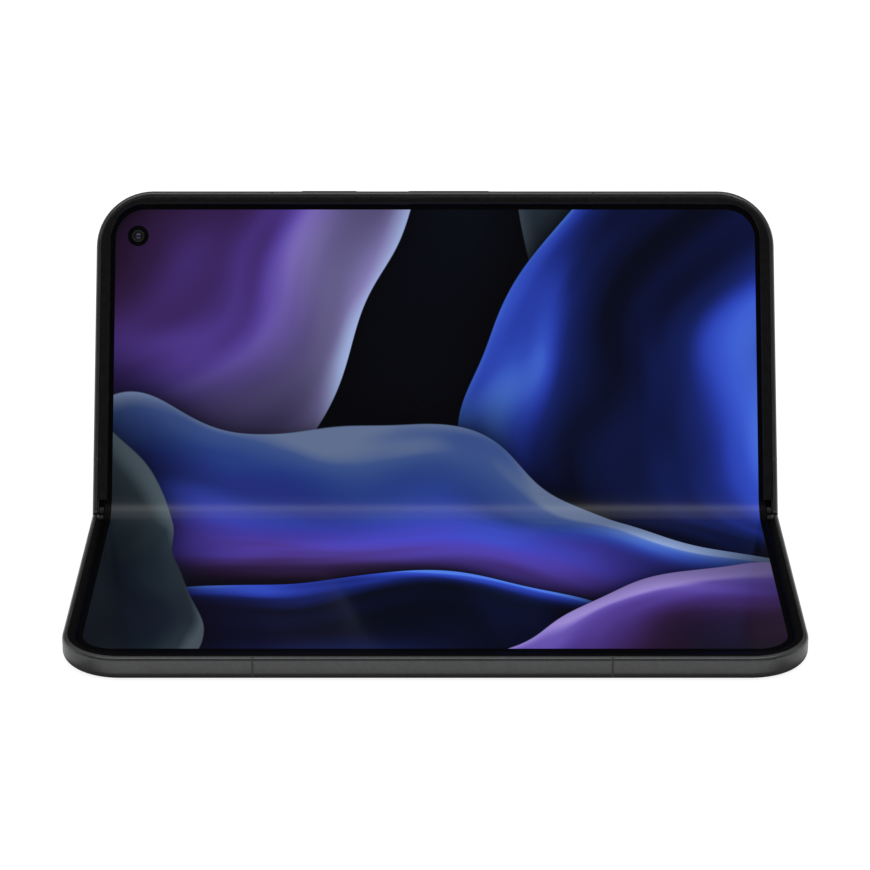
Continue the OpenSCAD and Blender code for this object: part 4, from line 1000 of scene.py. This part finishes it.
def make_display():
    screen = display_material("lit_display")
    backing = plastic("display_backing", srgb(14, 14, 15), 0.5, Specular_IOR_Level=0.2)
    lower = flat_display("inner_display_lower", lower_point, screen)
    back_in_black(lower, Vector((0, 0, 1)), backing)
    set_screen(lower, [(v.co.x, -screen_s(HALF_W / 2 - v.co.y)) for v in lower.data.vertices])
    add(lower, "lower", "inner_display", "display_lower")
    upper = flat_display("inner_display_upper", upper_point, screen)
    cut(upper, make_inner_camera())
    back_in_black(upper, -REARWARD, backing)
    set_screen(upper, [(v.co.x, screen_s(upper_place(v.co)[1])) for v in upper.data.vertices])
    add(upper, "upper", "inner_display", "display_upper")
    for body, side in (("lower", -1), ("upper", 1)):
        bend = bending_display("inner_display_bend_" + body, side, screen)
        back_in_black(bend, MIDDLE_WAY, backing)
        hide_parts("display_fold")
        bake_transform(bend)


def make_flat_cables():
    cable = film("black_polyimide")
    dress(cable, "button_switches")
    for label, x in (("left", -FLEX_X), ("right", FLEX_X)):
        for body, side in (("lower", -1), ("upper", 1)):
            piece, outer, inner = flex_half("flat_cable_" + label + "_" + body, x, side, cable)
            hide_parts("hinge_flex_" + label)
            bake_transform(piece)


def window_plate(name, centre_x, centre_u, length, width, material):
    """One glass window of the camera island: a flat pill with a small chamfer on its outer edge."""
    steps, edge = 64, 0.1 * MM
    outer, inner = ISLAND_TOP + WINDOW_SUNK, ISLAND_TOP + WINDOW_T
    straight = (length - width) / 2
    rings = []
    for inset, w in ((0, inner), (0, outer + edge), (edge, outer)):
        reach = width / 2 - inset
        ring = []
        for i in range(steps):
            turn = math.tau * (i + 0.5) / steps
            shift = math.copysign(straight, math.sin(turn))
            u = centre_u + shift + reach * math.sin(turn)
            ring.append(upper_point(centre_x + reach * math.cos(turn), u, w))
        rings.append(ring)
    return lofted(name, rings, material)


# Distances out of the upper half's back: just behind the windows, and their faces. ROUND_STEPS is for what
# is round and large there.
UNDER = -(ISLAND_TOP + WINDOW_T + 0.02 * MM)
FACE = -(ISLAND_TOP + WINDOW_SUNK)
ROUND_STEPS = 96


def bore_window(plate, centre, radius, steps):
    """Opens a window over a lens."""
    through = [(radius, UNDER - 0.5 * MM), (radius, FACE + 0.5 * MM)]
    cut(plate, turned_piece("bore", centre, REARWARD, through, None, steps=steps))


def make_rear_camera(node, x, u, size, ring_metal):
    """A square module with a ridged barrel and a domed lens in it, and a bright-edged ring in the window."""
    centre = upper_point(x, u, 0)
    ring_r, ring_in = 4.35 * MM, 3.92 * MM
    section = [(ring_r, UNDER), (ring_r, FACE - 0.05 * MM), (ring_r - 0.07 * MM, FACE),
        (ring_in + 0.1 * MM, FACE), (ring_in, FACE - 0.1 * MM), (ring_in, UNDER)]
    ring = turned_piece(node + "_ring", centre, REARWARD, section, ring_metal, ROUND_STEPS, closed=True)
    add(ring, "upper", "camera_body", "camera_windows")
    black = baffle(node + "_baffle", centre + REARWARD * UNDER, pitch=0.3 * MM)
    block = chamfered_block(node + "_base", upper_point, x, u, size, LEDGE_TOP, WEB_LOW, black)
    step, bottom = UNDER - 0.5 * MM, UNDER - 1.1 * MM
    wall = [(REAR_BARREL_R, -LEDGE_TOP - 0.1 * MM), (REAR_BARREL_R, UNDER), (3.9 * MM, UNDER),
        (3.3 * MM, step), (2.9 * MM, step), (2.2 * MM, bottom), (NEAR_AXIS, bottom)]
    barrel = turned_piece(node + "_barrel", centre, REARWARD, wall, black, ROUND_STEPS)
    glass = coated_lens(node + "_coating", centre + REARWARD * (UNDER - 0.6 * MM), 2.4 * MM, LENS_COAT_PAINTED_GLINT)
    cap = dome(2.3 * MM, UNDER - 1.12 * MM, UNDER - 0.45 * MM)
    lens = turned_piece(node + "_lens", centre, REARWARD, cap, glass)
    for piece in (block, barrel, lens):
        add(piece, "upper", "camera_body", node)


def make_rear_cameras():
    """Three cameras and a flash behind two windows, each in a round opening."""
    low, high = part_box("camera_windows")
    mid_x, mid_u, _ = upper_place((low + high) / 2)
    width, length = 12 * MM, 36 * MM
    aside = (high.x - low.x - width) / 2
    gloss = printed_glass("window_gloss", srgb(7, 7, 9)).material
    plates = {}
    for label, x in (("left", mid_x - aside), ("right", mid_x + aside)):
        plates[label] = window_plate("camera_window_" + label, x, mid_u, length, width, gloss)
    ring_metal = brushed("lens_ring_steel", (0.3, 0.3, 0.31), 0.22)
    cameras = (("wide_camera", 12 * MM, length / 5), ("ultrawide_camera", 11 * MM, -length / 6),
        ("tele_camera", 12 * MM, -length / 6))
    for node, size, rise in cameras:
        x, u = middle(node).x, mid_u + rise
        plate = plates["left" if x < mid_x else "right"]
        bore_window(plate, upper_point(x, u, 0), REAR_BARREL_R - 0.2 * MM, ROUND_STEPS)
        make_rear_camera(node, x, u, size, ring_metal)
    x = middle("flash_lamp").x
    centre = upper_point(x, mid_u + length / 5, 0)
    bore_window(plates["right" if x > mid_x else "left"], centre, FLASH_R, 64)
    warm = flash_lens("flash_rings", centre + REARWARD * UNDER)
    profile = [(2.1 * MM, UNDER + 0.01 * MM), (2.1 * MM, FACE - 0.15 * MM)]
    profile += dome(2.05 * MM, FACE - 0.12 * MM, FACE)[1:]
    lamp = turned_piece("flash_diffuser", centre, REARWARD, profile, warm)
    add(lamp, "upper", "flash_plastic", "camera_windows")
    dress(warm, "flash_lamp")
    for plate in plates.values():
        add(plate, "upper", "camera_glass", "camera_windows")


def dress_inside():
    steel = brushed("hinge_steel_satin", (0.42, 0.43, 0.44), 0.35)
    arms = ["arm_left", "arm_centre", "arm_right"]
    dress(steel, *["lower_" + arm for arm in arms], *["upper_" + arm for arm in arms])
    dress(steel, "hinge_bracket_left", "hinge_bracket_right", "gear_bracket", "gear_lower", "gear_upper")
    screws = metal("screw_nickel", (0.55, 0.54, 0.52), 0.25)
    dress(screws, "lower_arm_screws", "upper_arm_screws", "spine_screws")
    dress(brushed("plate_steel_satin", (0.5, 0.5, 0.51), 0.3), "lower_support_plate", "upper_support_plate")
    dress(printed_glass("panel_black", srgb(12, 12, 14), 0.2).material, "cover_panel")
    dress(plastic("camera_black", srgb(20, 21, 23), 0.4), "cover_camera")
    dress(plastic("module_black", srgb(34, 35, 38), 0.5), "top_speaker", "main_speaker")
    dress(contact_tongue("tongue_contacts"), "usb_c_tongue")
    dress(foil("battery_pouch", srgb(26, 27, 30)), "lower_battery", "upper_battery")
    dress(laminate("board_green"), "lower_board", "charge_board", "main_board")
    dress(brushed("motor_case", (0.48, 0.48, 0.48), 0.3), "haptic_motor", "sim_socket", "usb_c_port")
    dress(metal("magnet_nickel", (0.6, 0.59, 0.56), 0.22), "lower_magnets", "upper_magnets")
    dress(winding("coil_copper_wire", middle("charging_coil"), pitch=0.9 * MM), "charging_coil")


make_camera()
make_studio()
make_shell()
make_cover_glass()
make_display()
make_flat_cables()
make_rear_cameras()
dress_inside()

bpy.context.scene.view_settings.view_transform = "Standard"
